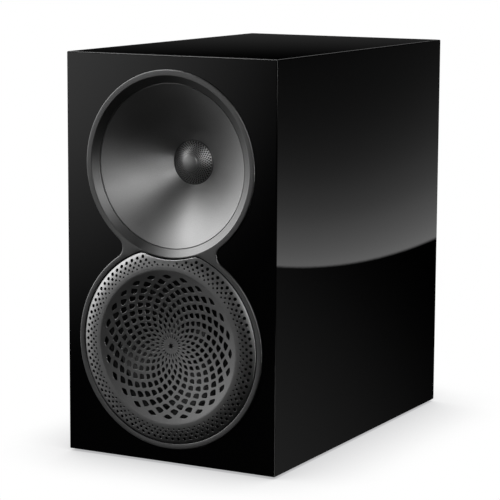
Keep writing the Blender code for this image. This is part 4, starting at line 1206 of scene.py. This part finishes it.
# Soft round lights: (strength, azimuth to the left of the front, elevation, reach), in
# degrees, with strengths from a fit to the real surfaces' brightness
SOFT_LIGHTS = (
    (1.01, 36, -2, 11), (0.40, 20, 5, 11), (0.09, 12, -16, 11),
    (1.12, 75, 0, 24), (1.85, 63, 15, 24), (0.48, 78, 15, 24), (1.00, 60, 30, 24), (2.20, 64, 45, 24),
    (1.15, -31, 15, 24), (0.20, -47, 15, 24), (1.21, -43, 30, 24),
    (0.26, 30, 75, 24), (0.13, 78, -15, 24), (0.16, 60, -30, 24), (0.02, 20, -52, 24),
)


def heading_of(azimuth, elevation):
    turn, tilt = math.radians(azimuth), math.radians(elevation)
    return -math.sin(turn) * math.cos(tilt), -math.cos(turn) * math.cos(tilt), math.sin(tilt)


def studio():
    sky = Sky()
    for strength, azimuth, elevation, reach in SOFT_LIGHTS:
        sky.glow(strength, heading_of(azimuth, elevation), 0, reach)
    # Small lamps that draw the lacquered front edge on the right
    sky.glow(14.0, (0.87, -0.49, -0.04), 1.5, 4)
    sky.glow(9.0, (0.85, -0.47, -0.25), 1.5, 4)
    # Overhead strip that catches the front top edge
    sky.glow(16.0, (-0.5, -0.12, 0.86), 2, 5)
    # Disc that the lacquered side reflects, brightest at its lower edge
    disc_way = Vector((0.4513, 0.8923, -0.0105))
    disc = sky.ramp(sky.angle_to(disc_way), 8.9, 8.8)
    above = sky.math("SUBTRACT", sky.angle_to(disc_way), 8.85)
    depth = sky.math("MULTIPLY", above, -1)
    below_centre = sky.ramp(sky.elevation, 4.0, -6.0)
    fall = sky.curve(depth, (0, 0.86), (1.0, 0.43), (1.9, 0.21), (3.2, 0.08), (5.5, 0.03), (12, 0.01))
    sky.add(sky.math("MULTIPLY", sky.math("MULTIPLY", disc, fall), below_centre))
    # Soft glow under the disc, and over the top face
    sky.glow(0.22, (0.55, 0.78, -0.32), 2, 15)
    sky.panel(0.07, 178, 142, -8, 3.1, 6, 4, 0.8)
    # Light behind the speaker for its back
    sky.panel(0.7, 172, 118, 14, 55, 8, 4, 10)
    sky.glow(0.6, (0.6, 0.6, 0.6), 8, 22)
    output = sky.tree.nodes.new("ShaderNodeOutputWorld")
    glow = sky.tree.nodes.new("ShaderNodeBackground")
    sky.tree.links.new(sky.total, glow.inputs["Color"])
    white = sky.tree.nodes.new("ShaderNodeBackground")
    white.inputs["Color"].default_value = (1, 1, 1, 1)
    mix = sky.tree.nodes.new("ShaderNodeMixShader")
    seen = sky.tree.nodes.new("ShaderNodeLightPath")
    sky.tree.links.new(seen.outputs["Is Camera Ray"], mix.inputs[0])
    sky.tree.links.new(glow.outputs[0], mix.inputs[1])
    sky.tree.links.new(white.outputs[0], mix.inputs[2])
    sky.tree.links.new(mix.outputs[0], output.inputs["Surface"])


def studio_floor():
    """Pale glowing floor with a soft contact shadow painted in from ambient occlusion."""
    half = 6.0
    mesh = bpy.data.meshes.new("floor")
    mesh.from_pydata([(-half, -half, 0), (half, -half, 0), (half, half, 0), (-half, half, 0)], [],
                     [(0, 1, 2, 3)])
    made = link_object("floor", mesh)
    pale = bpy.data.materials.new("pale_floor")
    pale.use_nodes = True
    tree = pale.node_tree
    tree.nodes.clear()
    # Painted shadow: ambient occlusion turns the floor's glow grey where the speaker stands close
    shade = tree.nodes.new("ShaderNodeAmbientOcclusion")
    shade.samples = 16
    shade.inputs["Distance"].default_value = 0.09
    ramp = tree.nodes.new("ShaderNodeValToRGB")
    ramp.color_ramp.elements[0].position = 0.15
    ramp.color_ramp.elements[0].color = (0.45, 0.45, 0.46, 1)
    ramp.color_ramp.elements[1].position = 0.95
    ramp.color_ramp.elements[1].color = (1.0, 1.0, 1.0, 1)
    glow = tree.nodes.new("ShaderNodeEmission")
    output = tree.nodes.new("ShaderNodeOutputMaterial")
    tree.links.new(shade.outputs["AO"], ramp.inputs["Fac"])
    tree.links.new(ramp.outputs["Color"], glow.inputs["Color"])
    tree.links.new(glow.outputs[0], output.inputs["Surface"])
    mesh.materials.append(pale)
    made.visible_glossy = False
    made.visible_diffuse = False


CAMERA_SENSOR = 36
CAMERA_LENS = 152.27
CAMERA_PLACE = (0.8768, -1.6637, 0.4587)
CAMERA_YAW, CAMERA_PITCH, CAMERA_ROLL = 28.121, 8.998, 0.322


def camera():
    lens = bpy.data.cameras.new("camera")
    lens.sensor_width = CAMERA_SENSOR
    lens.lens = CAMERA_LENS
    made = link_object("camera", lens)
    made.location = CAMERA_PLACE
    aim = Matrix.Identity(3)
    for degrees, axis in ((CAMERA_YAW, "Z"), (90 - CAMERA_PITCH, "X"), (CAMERA_ROLL, "Z")):
        aim = aim @ Matrix.Rotation(math.radians(degrees), 3, axis)
    made.rotation_euler = aim.to_euler()
    bpy.context.scene.camera = made


camera()
studio()
studio_floor()
cabinet()
rear_panel()
feet()
trim_plate()
woofer_lens()
tweeter_grid()
waveguide()
tweeter_moving()
woofer_cone()
woofer_surround()
port()
cup()
fitted_screws()
binding_posts()
dress_nodes()
bpy.context.scene.view_settings.view_transform = "Standard"
